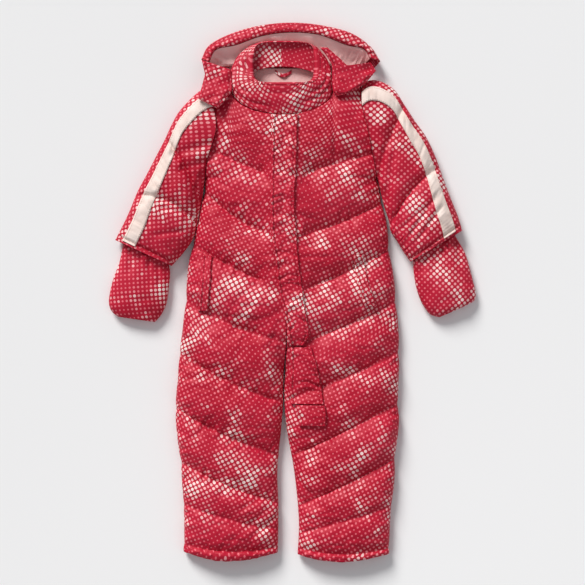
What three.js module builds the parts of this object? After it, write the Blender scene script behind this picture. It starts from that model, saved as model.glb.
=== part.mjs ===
// A quilted baby snowsuit lying flat on its back, with the hood spread open behind the collar.
// Millimetres. X runs to the viewer's right, which is the wearer's left, Y to the head, Z up.
import * as THREE from 'three';

// Wall thicknesses and gaps
const SEAM_GAP = 0.3;
const EDGE_THICKNESS = 3;
const BACK_WALL = 9;
const SLEEVE_LOFT = 12;
const SLEEVE_WALL = 8;
const MITTEN_LOFT = 8;
const MITTEN_WALL = 6;
const COLLAR_WALL = 8;
const HOOD_WALL = 8;
const LINING_THICKNESS = 1.6;
const TAPE_THICKNESS = 1.2;
const ARMHOLE_GAP = 1.1;
const NECK_GAP = 1.5;
const SLEEVE_CLEARANCE = 1.2;

// Underside of the fronts along the side seams, where they lie on the flat backs
const FRONT_EDGE = BACK_WALL + SEAM_GAP;

// Fullness of the padding
const DOME_POWER = 2.4;
const CEILING_POWER = 3.5;
const QUILT_DEPTH = 10;
const QUILT_ROUNDNESS = 2.1;
const SLEEVE_QUILT_DEPTH = 6.5;
const ARMHOLE_LIFT = 0.22;
const PLACKET_SHARE = 0.16;

// Where the body divides into legs, and the ends of the armhole
const LEG_BLEND_TOP = -40;
const LEG_BLEND_LOW = -135;
const SHOULDER_Y = 350;
const UNDERARM_Y = 194;

// Grid counts
const PANEL_COLUMNS = 10;
const ROWS_PER_CHANNEL = 4;
const BACK_SHOULDER_ROWS = 9;
const BACK_LOWER_ROWS = 12;
const SLEEVE_ROWS = 18;
const RING_POINTS = 16;
const MITTEN_ROWS = 7;
const COLLAR_STATIONS = 28;

// The fronts' height over the surface along their length: outside at the crown, and the hollow's ceiling
const bodyHeights = [
  { y: 390, crown: 26, ceiling: 12 },
  { y: 345, crown: 32, ceiling: 16 },
  { y: 300, crown: 44, ceiling: 27 },
  { y: 200, crown: 48, ceiling: 31 },
  { y: 0, crown: 47, ceiling: 30 },
  { y: -100, crown: 43, ceiling: 26.5 },
  { y: -250, crown: 40, ceiling: 24 },
  { y: -400, crown: 37, ceiling: 22.5 },
  { y: -460, crown: 30, ceiling: 19 },
];

// Outline of each half of the body, from the shoulder to the hem
const sideOutline = {
  right: [
    { y: 350, x: -141 },
    { y: 309, x: -134 },
    { y: 275, x: -131 },
    { y: 250, x: -138 },
    { y: 224, x: -146 },
    { y: 194, x: -150 },
    { y: 122, x: -162 },
    { y: 65, x: -176 },
    { y: 3, x: -183 },
    { y: -65, x: -189 },
    { y: -102, x: -195 },
    { y: -150, x: -197 },
    { y: -196, x: -202 },
    { y: -243, x: -198 },
    { y: -320, x: -190 },
    { y: -398, x: -186 },
    { y: -450, x: -188 },
  ],
  left: [
    { y: 350, x: 114 },
    { y: 318, x: 114 },
    { y: 292, x: 120 },
    { y: 255, x: 128 },
    { y: 194, x: 140 },
    { y: 122, x: 156 },
    { y: 65, x: 163 },
    { y: 10, x: 171 },
    { y: -48, x: 176 },
    { y: -107, x: 179 },
    { y: -158, x: 177 },
    { y: -220, x: 178 },
    { y: -260, x: 174 },
    { y: -320, x: 170 },
    { y: -388, x: 163 },
    { y: -450, x: 161 },
  ],
};

// Centre line under the placket, which goes on as the inseams of the two legs
const innerOutline = {
  right: [
    { y: 390, x: -17 },
    { y: 131, x: -17 },
    { y: 20, x: -18 },
    { y: -48, x: -13 },
    { y: -85, x: -13 },
    { y: -124, x: -17 },
    { y: -158, x: -19.5 },
    { y: -192, x: -19.5 },
    { y: -235, x: -24 },
    { y: -303, x: -28 },
    { y: -370, x: -26 },
    { y: -460, x: -28 },
  ],
  left: [
    { y: 390, x: -17 },
    { y: 131, x: -17 },
    { y: 20, x: -18 },
    { y: -48, x: -13 },
    { y: -85, x: -12 },
    { y: -124, x: -14 },
    { y: -158, x: -15.5 },
    { y: -192, x: -14 },
    { y: -235, x: -9 },
    { y: -303, x: 0 },
    { y: -388, x: 8 },
    { y: -460, x: 5 },
  ],
};

// Quilting rows from the neck to the hem: height at the centre and at the side, sag between, groove depth
const quiltRows = {
  right: [
    { centre: 300, side: 350, sag: 0, depth: 0 },
    { centre: 189, side: 241, sag: 2, depth: 1 },
    { centre: 92, side: 170, sag: 14, depth: 1 },
    { centre: 3, side: 78, sag: 2, depth: 1 },
    { centre: -84, side: -15, sag: 8, depth: 1 },
    { centre: -186, side: -104, sag: 9, depth: 1 },
    { centre: -276, side: -196, sag: 8, depth: 1 },
    { centre: -356, side: -289, sag: 6, depth: 1 },
    { centre: -402, side: -360, sag: 4, depth: 0.4 },
    { centre: -431, side: -428, sag: 9, depth: 0.5 },
    { centre: -441, side: -440, sag: 14, depth: 0.3 },
  ],
  left: [
    { centre: 300, side: 350, sag: 0, depth: 0 },
    { centre: 186, side: 233, sag: -4, depth: 1 },
    { centre: 90, side: 150, sag: 8, depth: 1 },
    { centre: -6, side: 71, sag: 6, depth: 1 },
    { centre: -94, side: -17, sag: 4, depth: 1 },
    { centre: -184, side: -102, sag: 4, depth: 1 },
    { centre: -277, side: -190, sag: 2, depth: 1 },
    { centre: -362, side: -282, sag: 3, depth: 1 },
    { centre: -408, side: -362, sag: 2, depth: 0.4 },
    { centre: -434, side: -434, sag: 9, depth: 0.5 },
    { centre: -444, side: -444, sag: 12, depth: 0.3 },
  ],
};

// Neckline of the back, across half of the body, and how the front rises from the collar to the shoulder
const backNeckline = [
  { across: 0, y: 381 },
  { across: 0.5, y: 378 },
  { across: 0.75, y: 366 },
  { across: 1, y: 350 },
];
const NECK_END_SHARE = 0.97;
const SHOULDER_RISE_LENGTH = 9;
const SHOULDER_PEAK_Y = 357;
const SHOULDER_CLOSE_FROM = 336;

// Upper (over) and lower (under) edge of each sleeve from the armhole to the cuff, with its crown
const sleeveEdges = {
  right: [
    { overX: -143, overY: 352, underX: -151, underY: 194, crown: 40 },
    { overX: -172, overY: 338, underX: -154, underY: 170, crown: 41 },
    { overX: -192, overY: 311, underX: -156, underY: 151, crown: 42 },
    { overX: -207, overY: 284, underX: -159, underY: 136, crown: 42 },
    { overX: -219, overY: 258, underX: -162, underY: 121, crown: 42 },
    { overX: -233, overY: 231, underX: -166, underY: 105, crown: 41 },
    { overX: -248, overY: 202, underX: -170, underY: 92, crown: 40 },
    { overX: -265, overY: 170, underX: -177, underY: 80, crown: 40 },
    { overX: -280, overY: 134, underX: -186, underY: 68, crown: 38 },
    { overX: -292, overY: 109, underX: -196, underY: 56, crown: 36 },
    { overX: -303, overY: 88, underX: -207, underY: 44, crown: 32 },
  ],
  left: [
    { overX: 117, overY: 354, underX: 142, underY: 194, crown: 40 },
    { overX: 139, overY: 358, underX: 147, underY: 170, crown: 41 },
    { overX: 163, overY: 342, underX: 151, underY: 151, crown: 42 },
    { overX: 185, overY: 314, underX: 156, underY: 134, crown: 42 },
    { overX: 204, overY: 291, underX: 161, underY: 119, crown: 42 },
    { overX: 223, overY: 264, underX: 163, underY: 105, crown: 41 },
    { overX: 238, overY: 233, underX: 168, underY: 95, crown: 40 },
    { overX: 252, overY: 195, underX: 175, underY: 85, crown: 40 },
    { overX: 265, overY: 160, underX: 182, underY: 73, crown: 38 },
    { overX: 277, overY: 130, underX: 190, underY: 61, crown: 36 },
    { overX: 285, overY: 104, underX: 197, underY: 51, crown: 32 },
  ],
};
const SLEEVE_SEAM = 14;
const SLEEVE_HEAD_ROWS = 2.5;
const sleeveGrooves = [
  { row: 3.1, depth: 1 },
  { row: 6.4, depth: 1 },
  { row: 9.5, depth: 0.5 },
];
const SLEEVE_GROOVE_REACH = 1.1;

// The mitten's outer and inner side edge from the cuff to the tip
const mittenEdges = {
  right: [
    { farX: -296, farY: 51, nearX: -210, nearY: 31, crown: 25 },
    { farX: -306, farY: 24, nearX: -212, nearY: 8, crown: 27 },
    { farX: -312, farY: 0, nearX: -215, nearY: -14, crown: 27 },
    { farX: -314, farY: -19, nearX: -219, nearY: -27, crown: 25 },
    { farX: -309, farY: -33, nearX: -226, nearY: -40, crown: 22 },
    { farX: -298, farY: -42, nearX: -236, nearY: -51, crown: 17 },
  ],
  left: [
    { farX: 290, farY: 66, nearX: 203, nearY: 32, crown: 25 },
    { farX: 298, farY: 40, nearX: 207, nearY: 8, crown: 27 },
    { farX: 304, farY: 17, nearX: 214, nearY: -13, crown: 27 },
    { farX: 308, farY: 0, nearX: 221, nearY: -26, crown: 25 },
    { farX: 306, farY: -14, nearX: 231, nearY: -38, crown: 22 },
    { farX: 292, farY: -23, nearX: 246, nearY: -43, crown: 17 },
  ],
};
const MITTEN_SEAM = 10;
const MITTEN_CUFF_FROM = 0.14;
const MITTEN_CUFF_TO = 0.95;

// Strips that lie on the fronts: left and right edge at each height, and how thick they are
const placketEdges = [
  { y: 298, left: -36, right: 7 },
  { y: 241, left: -38, right: 5 },
  { y: 131, left: -39, right: 2 },
  { y: 88, left: -37, right: 5 },
  { y: 54, left: -32, right: 8 },
  { y: 20, left: -28, right: 13 },
  { y: -14, left: -22, right: 17 },
  { y: -48, left: -14, right: 22 },
  { y: -73, left: -10, right: 25 },
  { y: -90, left: -7, right: 16 },
];
const legPlacketEdges = [
  { y: -93, left: -6, right: 29 },
  { y: -124, left: -6, right: 39 },
  { y: -158, left: -7, right: 46 },
  { y: -189, left: -5, right: 50 },
];
const zipEndEdges = [
  { y: -191, left: 2, right: 53 },
  { y: -208, left: 5, right: 54 },
  { y: -226, left: 9, right: 54 },
];
const pocketEdges = {
  right: [
    { y: 62, left: -155, right: -138 },
    { y: 15, left: -158, right: -141 },
    { y: -32, left: -162, right: -145 },
  ],
  left: [
    { y: 62, left: 99, right: 116 },
    { y: 15, left: 108, right: 126 },
    { y: -24, left: 119, right: 138 },
  ],
};
const PLACKET_THICKNESS = 4;
const POCKET_THICKNESS = 3;
const STRIP_LIFT = 0.9;

// The sleeve tape lies a little way in from the over edge
const TAPE_INSET = 12;
const TAPE_WIDTH = 24;

// Collar ring: the seam to the body, the widest line and the rim, which is squarer the lower its power
const collarLines = {
  base: { x: -20, y: 340.5, halfWidth: 84, halfDepth: 40.5, z: 28.5, rise: 16.5, power: 1 },
  belly: { x: -22, y: 372, halfWidth: 82, halfDepth: 46, z: 32, rise: 19, power: 0.85 },
  rim: { x: -17, y: 387, halfWidth: 56, halfDepth: 35, z: 37, rise: 16, power: 0.6 },
};

// Hood: outline and inner edge of its brim, from the wearer's right side round the top to the left
const hoodStations = [
  { outerX: -157, outerY: 394, innerX: -143, innerY: 389 },
  { outerX: -143, outerY: 418, innerX: -131, innerY: 410 },
  { outerX: -105, outerY: 438, innerX: -97, innerY: 418 },
  { outerX: -58, outerY: 451, innerX: -54, innerY: 433 },
  { outerX: -7, outerY: 456, innerX: -7, innerY: 439 },
  { outerX: 44, outerY: 452, innerX: 42, innerY: 435 },
  { outerX: 95, outerY: 439, innerX: 88, innerY: 418 },
  { outerX: 129, outerY: 416, innerX: 117, innerY: 411 },
  { outerX: 146, outerY: 391, innerX: 128, innerY: 395 },
];
const HOOD_BASE_Y = 381.5;
const HOOD_RIM_LOW = 9;
const HOOD_RIM_HIGH = 13;
const BRIM_EDGE_Z = 24;
const LINING_SLOPE_POWER = 8;
const HOOD_COLUMNS = 24;
const HOOD_ROWS = 7;

// The hood's two front corners, folded down over the shoulders
const hoodCorners = {
  right: [
    { leftX: -155.5, leftY: 391, rightX: -113, rightY: 376 },
    { leftX: -150, leftY: 367, rightX: -110, rightY: 358 },
    { leftX: -156, leftY: 342, rightX: -109, rightY: 338 },
    { leftX: -162, leftY: 326, rightX: -112, rightY: 323 },
    { leftX: -146, leftY: 314, rightX: -128, rightY: 308 },
  ],
  left: [
    { leftX: 65.4, leftY: 400, rightX: 76, rightY: 394 },
    { leftX: 65.4, leftY: 384, rightX: 92, rightY: 377 },
    { leftX: 64.4, leftY: 367, rightX: 131, rightY: 374 },
    { leftX: 64.4, leftY: 350, rightX: 112, rightY: 357 },
    { leftX: 65.6, leftY: 338, rightX: 95, rightY: 342 },
    { leftX: 73, leftY: 330, rightX: 82, rightY: 332 },
  ],
};
const CORNER_THICKNESS = 9;
const CORNER_CLEARANCE = 0.8;
const CORNER_FLOOR = 31;
const CORNER_REACH = 22;

const COLOURS = {
  cloth: 0xb83a4c,
  lining: 0xdba6a1,
  tape: 0xf3dcd2,
};

const materials = {
  cloth: { color: COLOURS.cloth, roughness: 0.55, metalness: 0 },
  lining: { color: COLOURS.lining, roughness: 0.9, metalness: 0 },
  tape: { color: COLOURS.tape, roughness: 0.8, metalness: 0 },
};

const snowsuit = new THREE.Group();

function lerp(a, b, t) {
  return a + (b - a) * t;
}

function clamp01(t) {
  return Math.min(1, Math.max(0, t));
}

function smooth(t) {
  const s = clamp01(t);
  return s * s * (3 - 2 * s);
}

// A smooth curve through one column of a table, read along another column
function reader(table, along, value) {
  const rows = [...table].sort((a, b) => a[along] - b[along]);
  const slopes = rows.map((row, i) => {
    const before = rows[Math.max(0, i - 1)];
    const after = rows[Math.min(rows.length - 1, i + 1)];
    return (after[value] - before[value]) / (after[along] - before[along]);
  });
  return (at) => {
    let i = 0;
    while (i < rows.length - 2 && at > rows[i + 1][along]) i += 1;
    const span = rows[i + 1][along] - rows[i][along];
    const t = clamp01((at - rows[i][along]) / span);
    const t2 = t * t;
    const t3 = t2 * t;
    return (
      (2 * t3 - 3 * t2 + 1) * rows[i][value] +
      (t3 - 2 * t2 + t) * span * slopes[i] +
      (3 * t2 - 2 * t3) * rows[i + 1][value] +
      (t3 - t2) * span * slopes[i + 1]
    );
  };
}

// The same, with the row number as the place along the table
function rowReader(table, value) {
  return reader(table.map((row, i) => ({ at: i, value: row[value] })), 'at', 'value');
}

// Height of a lying padded shape across its width, from 1 at the middle to 0 at an edge
function dome(across, power = DOME_POWER) {
  return Math.sqrt(Math.max(0, 1 - Math.abs(across) ** power));
}

// A closed wall between an outer and an inner grid of points
function wallGeometry(outer, inner, { wrap = false, cap = false } = {}) {
  const rows = outer.length;
  const columns = outer[0].length;
  const points = [...outer.flat(), ...inner.flat()];
  const index = [];
  const outerAt = (r, c) => r * columns + (c % columns);
  const innerAt = (r, c) => rows * columns + outerAt(r, c);
  const quad = (a, b, c, d) => index.push(a, b, c, a, c, d);
  const lastRow = rows - 1;
  const lastColumn = columns - 1;
  const steps = wrap ? columns : lastColumn;
  for (let c = 0; c < steps; c += 1) {
    for (let r = 0; r < lastRow; r += 1) {
      quad(outerAt(r, c), outerAt(r, c + 1), outerAt(r + 1, c + 1), outerAt(r + 1, c));
      quad(innerAt(r, c), innerAt(r + 1, c), innerAt(r + 1, c + 1), innerAt(r, c + 1));
    }
    quad(outerAt(0, c + 1), outerAt(0, c), innerAt(0, c), innerAt(0, c + 1));
    if (!cap) {
      quad(
        outerAt(lastRow, c),
        outerAt(lastRow, c + 1),
        innerAt(lastRow, c + 1),
        innerAt(lastRow, c),
      );
    }
  }
  if (!wrap) {
    for (let r = 0; r < lastRow; r += 1) {
      quad(outerAt(r, 0), outerAt(r + 1, 0), innerAt(r + 1, 0), innerAt(r, 0));
      quad(
        outerAt(r + 1, lastColumn),
        outerAt(r, lastColumn),
        innerAt(r, lastColumn),
        innerAt(r + 1, lastColumn),
      );
    }
  }
  if (cap) {
    const outerMiddle = points.push(middleOf(outer[lastRow])) - 1;
    const innerMiddle = points.push(middleOf(inner[lastRow])) - 1;
    for (let c = 0; c < columns; c += 1) {
      index.push(outerAt(lastRow, c), outerAt(lastRow, c + 1), outerMiddle);
      index.push(innerAt(lastRow, c + 1), innerAt(lastRow, c), innerMiddle);
    }
  }
  if (signedVolume(points, index) < 0) index.reverse();
  const geometry = new THREE.BufferGeometry().setFromPoints(points);
  geometry.setIndex(index);
  geometry.computeVertexNormals();
  return geometry;
}

function middleOf(points) {
  return points.reduce((sum, p) => sum.add(p), new THREE.Vector3()).divideScalar(points.length);
}

function signedVolume(points, index) {
  let volume = 0;
  const cross = new THREE.Vector3();
  for (let i = 0; i < index.length; i += 3) {
    cross.crossVectors(points[index[i + 1]], points[index[i + 2]]);
    volume += points[index[i]].dot(cross);
  }
  return volume;
}

function addPiece(name, kind, geometry) {
  const mesh = new THREE.Mesh(geometry, new THREE.MeshStandardMaterial(materials[kind]));
  mesh.name = name;
  snowsuit.add(mesh);
}

function grid(rowValues, columnValues, pointAt) {
  return rowValues.map((v) => columnValues.map((u) => pointAt(u, v)));
}

function steps(count) {
  return Array.from({ length: count + 1 }, (_, i) => i / count);
}

const crownAt = reader(bodyHeights, 'y', 'crown');
const ceilingAt = reader(bodyHeights, 'y', 'ceiling');

function legShare(y) {
  return smooth((LEG_BLEND_TOP - y) / (LEG_BLEND_TOP - LEG_BLEND_LOW));
}

// Place across the dome: from the centre line to the side on the body, from edge to edge on a leg
function domePlace(across, y) {
  const armhole = clamp01((y - UNDERARM_Y) / (SHOULDER_Y - UNDERARM_Y));
  const lifted = 1 - ARMHOLE_LIFT * Math.sqrt(Math.sin(Math.PI * armhole));
  return lerp(across, 2 * across - 1, legShare(y)) * lifted;
}

// The front's upper edge follows the collar seam and then rises to the shoulder
function frontNecklineY(x, shoulderX) {
  const { base } = collarLines;
  const fromMiddle = Math.abs(x - base.x);
  const reach = base.halfWidth + NECK_GAP;
  const share = Math.min(NECK_END_SHARE, fromMiddle / reach);
  const seamY = base.y - (base.halfDepth + NECK_GAP) * Math.sqrt(1 - share ** 2);
  const past = fromMiddle - NECK_END_SHARE * reach;
  if (past <= 0) return seamY;
  const shoulderLength = Math.abs(shoulderX - base.x) - NECK_END_SHARE * reach;
  const peak = lerp(SHOULDER_PEAK_Y, SHOULDER_Y, clamp01(past / shoulderLength));
  return lerp(seamY, peak, smooth(past / SHOULDER_RISE_LENGTH));
}

// The shoulder seam is sewn shut outside the collar, and the hollow ends there
function shoulderClosing(across, y) {
  return smooth((y - SHOULDER_CLOSE_FROM) / (SHOULDER_Y - SHOULDER_CLOSE_FROM)) * smooth((across - 0.66) * 10);
}

// One half of the body: where a point of its front lies, and how high its front and back are there
function bodyHalf(side) {
  const rows = quiltRows[side];
  const sideX = reader(sideOutline[side], 'y', 'x');
  const innerX = reader(innerOutline[side], 'y', 'x');
  const backNecklineY = reader(backNeckline, 'across', 'y');
  const towardSide = side === 'right' ? -1 : 1;

  const channelOf = (v) => Math.min(Math.floor(v), rows.length - 2);
  const between = (v, column) => {
    const k = channelOf(v);
    return lerp(rows[k][column], rows[k + 1][column], v - k);
  };

  function frontPlace(across, v) {
    const centreY = between(v, 'centre');
    const sideY = between(v, 'side');
    const straight = lerp(centreY, sideY, across) - between(v, 'sag') * Math.sin(Math.PI * across);
    const x = lerp(innerX(centreY) + (towardSide * SEAM_GAP) / 2, sideX(sideY), across);
    if (v >= 1) return { x, y: straight };
    const atNeck = frontNecklineY(x, sideX(SHOULDER_Y)) - lerp(rows[0].centre, rows[0].side, across);
    return { x, y: straight + atNeck * (1 - v) };
  }

  function grooveAt(v) {
    const k = channelOf(v);
    const within = v - k;
    return Math.abs(2 * within - 1) ** QUILT_ROUNDNESS * rows[within < 0.5 ? k : k + 1].depth;
  }

  function frontTop(across, v, y) {
    const place = domePlace(across, y);
    const edgeFade = 1 - 0.8 * Math.abs(place) ** 6;
    const clearOfPlacket = smooth((across - PLACKET_SHARE) / PLACKET_SHARE);
    const centreFade = lerp(clearOfPlacket, 1, legShare(y));
    const groove = QUILT_DEPTH * grooveAt(v) * edgeFade * centreFade;
    return lerp(FRONT_EDGE + EDGE_THICKNESS, crownAt(y), dome(place)) - groove;
  }

  function frontUnder(across, y) {
    const open = dome(domePlace(across, y), CEILING_POWER) * (1 - shoulderClosing(across, y));
    return lerp(FRONT_EDGE, ceilingAt(y), open);
  }

  function backPlace(across, down) {
    const topY = backNecklineY(across);
    const hem = rows[rows.length - 1];
    const hemY = lerp(hem.centre, hem.side, across) - hem.sag * Math.sin(Math.PI * across);
    const y = lerp(topY, hemY, down);
    return { x: lerp(innerX(y) + (towardSide * SEAM_GAP) / 2, sideX(y), across), y };
  }

  function backUnder(across, y) {
    return lerp(BACK_WALL - EDGE_THICKNESS, 0, clamp01(1.6 * dome(domePlace(across, y))));
  }

  // Height of the front over any place of the surface, for the strips that lie on it
  function heightOver(x, y) {
    let low = 0;
    let high = rows.length - 1;
    let across = 0;
    for (let i = 0; i < 24; i += 1) {
      const v = (low + high) / 2;
      const start = frontPlace(0, v);
      const end = frontPlace(1, v);
      across = clamp01((x - start.x) / (end.x - start.x));
      if (frontPlace(across, v).y > y) low = v;
      else high = v;
    }
    return frontTop(across, low, y);
  }

  return {
    rows,
    sideX,
    frontPlace,
    frontTop,
    frontUnder,
    backPlace,
    backUnder,
    heightOver,
  };
}

// Columns crowd towards the edges that fall away
function columnsAt(y) {
  return steps(PANEL_COLUMNS).map((t) => {
    const onBody = Math.sin((Math.PI / 2) * t);
    const onLeg = (1 - Math.cos(Math.PI * t)) / 2;
    return lerp(onBody, onLeg, legShare(y));
  });
}

// Rows of the back, closer together along the curved armhole
function backRows() {
  const armholeShare = 0.24;
  const upper = steps(BACK_SHOULDER_ROWS).map((t) => t * armholeShare);
  const lower = steps(BACK_LOWER_ROWS).map((t) => lerp(armholeShare, 1, t));
  return [...upper, ...lower.slice(1)];
}

function addBodyHalf(side, half) {
  const channels = half.rows.length - 1;
  const frontRows = steps(channels * ROWS_PER_CHANNEL).map((t) => t * channels);
  const frontPoints = (heightAt) =>
    frontRows.map((v) => {
      const middleY = half.frontPlace(0.5, v).y;
      return columnsAt(middleY).map((across) => {
        const { x, y } = half.frontPlace(across, v);
        return new THREE.Vector3(x, y, heightAt(across, v, y));
      });
    });
  const outer = frontPoints((across, v, y) => half.frontTop(across, v, y));
  const inner = frontPoints((across, v, y) => half.frontUnder(across, y));
  addPiece(`front_${side}`, 'cloth', wallGeometry(outer, inner));

  const backPoints = (heightAt) =>
    backRows().map((down) => {
      const middleY = half.backPlace(0.5, down).y;
      return columnsAt(middleY).map((across) => {
        const { x, y } = half.backPlace(across, down);
        return new THREE.Vector3(x, y, heightAt(across, y));
      });
    });
  addPiece(
    `back_${side}`,
    'cloth',
    wallGeometry(backPoints(half.backUnder), backPoints(() => BACK_WALL)),
  );
}

// A ring round a flattened sleeve or mitten, seen across its width from one edge to the other
function ringAngles() {
  return Array.from({ length: RING_POINTS }, (_, i) => (2 * Math.PI * i) / RING_POINTS);
}

function ringHeight(angle, seam, top, floor) {
  const rise = dome(Math.cos(angle));
  if (Math.sin(angle) >= 0) return lerp(seam, top, rise);
  return lerp(seam, floor, clamp01(1.5 * rise));
}

function sleeveShape(side, half) {
  const table = sleeveEdges[side];
  const towardSide = side === 'right' ? -1 : 1;
  const overX = rowReader(table, 'overX');
  const overY = rowReader(table, 'overY');
  const underX = rowReader(table, 'underX');
  const underY = rowReader(table, 'underY');
  const crown = rowReader(table, 'crown');
  const lastRow = table.length - 1;

  function place(across, v) {
    const over = new THREE.Vector2(overX(v), overY(v));
    const clearX = half.sideX(underY(v)) + towardSide * SLEEVE_CLEARANCE;
    const lowX = towardSide * Math.max(towardSide * underX(v), towardSide * clearX);
    const under = new THREE.Vector2(lowX, underY(v));
    const straight = over.lerp(under, across);
    const armholeY = lerp(SHOULDER_Y - 1, UNDERARM_Y, across);
    const armhole = new THREE.Vector2(half.sideX(armholeY) + towardSide * ARMHOLE_GAP, armholeY);
    return armhole.lerp(straight, smooth(v / SLEEVE_HEAD_ROWS));
  }

  function groove(v) {
    const nearest = sleeveGrooves.map(({ row, depth }) => {
      const away = clamp01(Math.abs(v - row) / SLEEVE_GROOVE_REACH);
      return depth * (1 - away) ** 2;
    });
    return SLEEVE_QUILT_DEPTH * Math.max(...nearest);
  }

  function top(across, v) {
    const rise = dome(2 * across - 1);
    return lerp(SLEEVE_SEAM, crown(v), rise) - groove(v) * Math.min(1, 1.3 * rise);
  }

  return { lastRow, place, top, crown };
}

function addSleeve(side, sleeve) {
  const rows = steps(SLEEVE_ROWS).map((t) => t * sleeve.lastRow);
  const ringPoint = (angle, v, inset, height) => {
    const width = sleeve.place(0, v).distanceTo(sleeve.place(1, v));
    const across = lerp(inset / width, 1 - inset / width, (1 - Math.cos(angle)) / 2);
    const { x, y } = sleeve.place(across, v);
    return new THREE.Vector3(x, y, height(angle, v));
  };
  const outerHeight = (angle, v) => {
    const across = (1 - Math.cos(angle)) / 2;
    if (Math.sin(angle) > 0) return sleeve.top(across, v);
    return ringHeight(angle, SLEEVE_SEAM, SLEEVE_SEAM, 0);
  };
  const innerHeight = (angle, v) =>
    ringHeight(angle, SLEEVE_SEAM, sleeve.crown(v) - SLEEVE_LOFT, SLEEVE_WALL);
  const outer = grid(rows, ringAngles(), (angle, v) => ringPoint(angle, v, 0, outerHeight));
  const inner = grid(rows, ringAngles(), (angle, v) =>
    ringPoint(angle, v, SLEEVE_WALL / 2, innerHeight),
  );
  addPiece(`sleeve_${side}`, 'cloth', wallGeometry(outer, inner, { wrap: true }));
}

function addTape(side, sleeve) {
  const rows = steps(SLEEVE_ROWS).map((t) => lerp(0.15, sleeve.lastRow - 0.08, t));
  const tapePoint = (share, v, lift) => {
    const width = sleeve.place(0, v).distanceTo(sleeve.place(1, v));
    const across = (TAPE_INSET + TAPE_WIDTH * share) / width;
    const { x, y } = sleeve.place(across, v);
    return new THREE.Vector3(x, y, sleeve.top(across, v) + lift);
  };
  const columns = steps(4);
  const outer = grid(rows, columns, (u, v) => tapePoint(u, v, STRIP_LIFT + TAPE_THICKNESS));
  const inner = grid(rows, columns, (u, v) => tapePoint(u, v, STRIP_LIFT));
  addPiece(`tape_${side}`, 'tape', wallGeometry(outer, inner));
}

// A closed mitten bag, with its mouth against the sleeve's cuff
function addMitten(side, sleeve) {
  const cuffFar = sleeve.place(MITTEN_CUFF_FROM, sleeve.lastRow);
  const cuffNear = sleeve.place(MITTEN_CUFF_TO, sleeve.lastRow);
  const along = cuffNear.clone().sub(cuffFar).normalize();
  const down = side === 'right' ? new THREE.Vector2(along.y, -along.x) : new THREE.Vector2(-along.y, along.x);
  cuffFar.addScaledVector(down, SEAM_GAP);
  cuffNear.addScaledVector(down, SEAM_GAP);
  const table = [
    { farX: cuffFar.x, farY: cuffFar.y, nearX: cuffNear.x, nearY: cuffNear.y, crown: 24 },
    ...mittenEdges[side],
  ];
  const farX = rowReader(table, 'farX');
  const farY = rowReader(table, 'farY');
  const nearX = rowReader(table, 'nearX');
  const nearY = rowReader(table, 'nearY');
  const crown = rowReader(table, 'crown');
  const lastRow = table.length - 1;
  const ring = (reach, inset, top, floor) => (angle, v) => {
    const far = new THREE.Vector2(farX(v * reach), farY(v * reach));
    const near = new THREE.Vector2(nearX(v * reach), nearY(v * reach));
    const width = far.distanceTo(near);
    const share = lerp(inset / width, 1 - inset / width, (1 - Math.cos(angle)) / 2);
    const { x, y } = far.lerp(near, share);
    return new THREE.Vector3(x, y, ringHeight(angle, MITTEN_SEAM, top(v * reach), floor));
  };
  const rows = steps(MITTEN_ROWS).map((t) => t * lastRow);
  const outerTop = (v) => crown(v);
  const innerTop = (v) => Math.max(MITTEN_SEAM + 1, crown(v) - MITTEN_LOFT);
  const outer = grid(rows, ringAngles(), ring(1, 0, outerTop, 0));
  const inner = grid(rows, ringAngles(), ring(0.85, MITTEN_WALL, innerTop, MITTEN_WALL));
  addPiece(`mitten_${side}`, 'cloth', wallGeometry(outer, inner, { wrap: true, cap: true }));
}

// A strip that lies on the fronts, made from the height of the cloth under it
function addStrip(name, edges, heightOver, thickness, columnCount, rowLength) {
  const left = reader(edges, 'y', 'left');
  const right = reader(edges, 'y', 'right');
  const top = edges[0].y;
  const bottom = edges[edges.length - 1].y;
  const rows = steps(Math.round((top - bottom) / rowLength)).map((t) => lerp(top, bottom, t));
  const stripPoint = (u, y, lift) => {
    const x = lerp(left(y), right(y), u);
    return new THREE.Vector3(x, y, heightOver(x, y) + lift);
  };
  const columns = steps(columnCount);
  const rounded = (u) => thickness * (0.55 + 0.45 * dome(2 * u - 1));
  const outer = grid(rows, columns, (u, y) => stripPoint(u, y, STRIP_LIFT + rounded(u)));
  const inner = grid(rows, columns, (u, y) => stripPoint(u, y, STRIP_LIFT));
  addPiece(name, 'cloth', wallGeometry(outer, inner));
}

// The collar is one padded ring that leans forward, so its back shows its inner face
function addCollar() {
  const squared = (value, power) => Math.sign(value) * Math.abs(value) ** power;
  const onLine = (line, angle) =>
    new THREE.Vector3(
      line.x + line.halfWidth * squared(Math.sin(angle), line.power),
      line.y - line.halfDepth * squared(Math.cos(angle), line.power),
      line.z + line.rise * Math.cos(angle),
    );
  const stations = Array.from(
    { length: COLLAR_STATIONS },
    (_, i) => (2 * Math.PI * i) / COLLAR_STATIONS,
  );
  const profile = steps(5);
  const outerPoint = (angle, t) => {
    const base = onLine(collarLines.base, angle);
    const belly = onLine(collarLines.belly, angle);
    const rim = onLine(collarLines.rim, angle);
    const control = belly.multiplyScalar(2).sub(base.clone().add(rim).multiplyScalar(0.5));
    return new THREE.QuadraticBezierCurve3(base, control, rim).getPoint(t);
  };
  const inward = (angle) =>
    new THREE.Vector3(-0.8 * Math.sin(angle), 0, -Math.cos(angle)).multiplyScalar(COLLAR_WALL);
  const outer = grid(profile, stations, (angle, t) => outerPoint(angle, t));
  const inner = grid(profile, stations, (angle, t) => outerPoint(angle, t).add(inward(angle)));
  addPiece('collar', 'cloth', wallGeometry(outer, inner, { wrap: true }));
}

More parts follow.
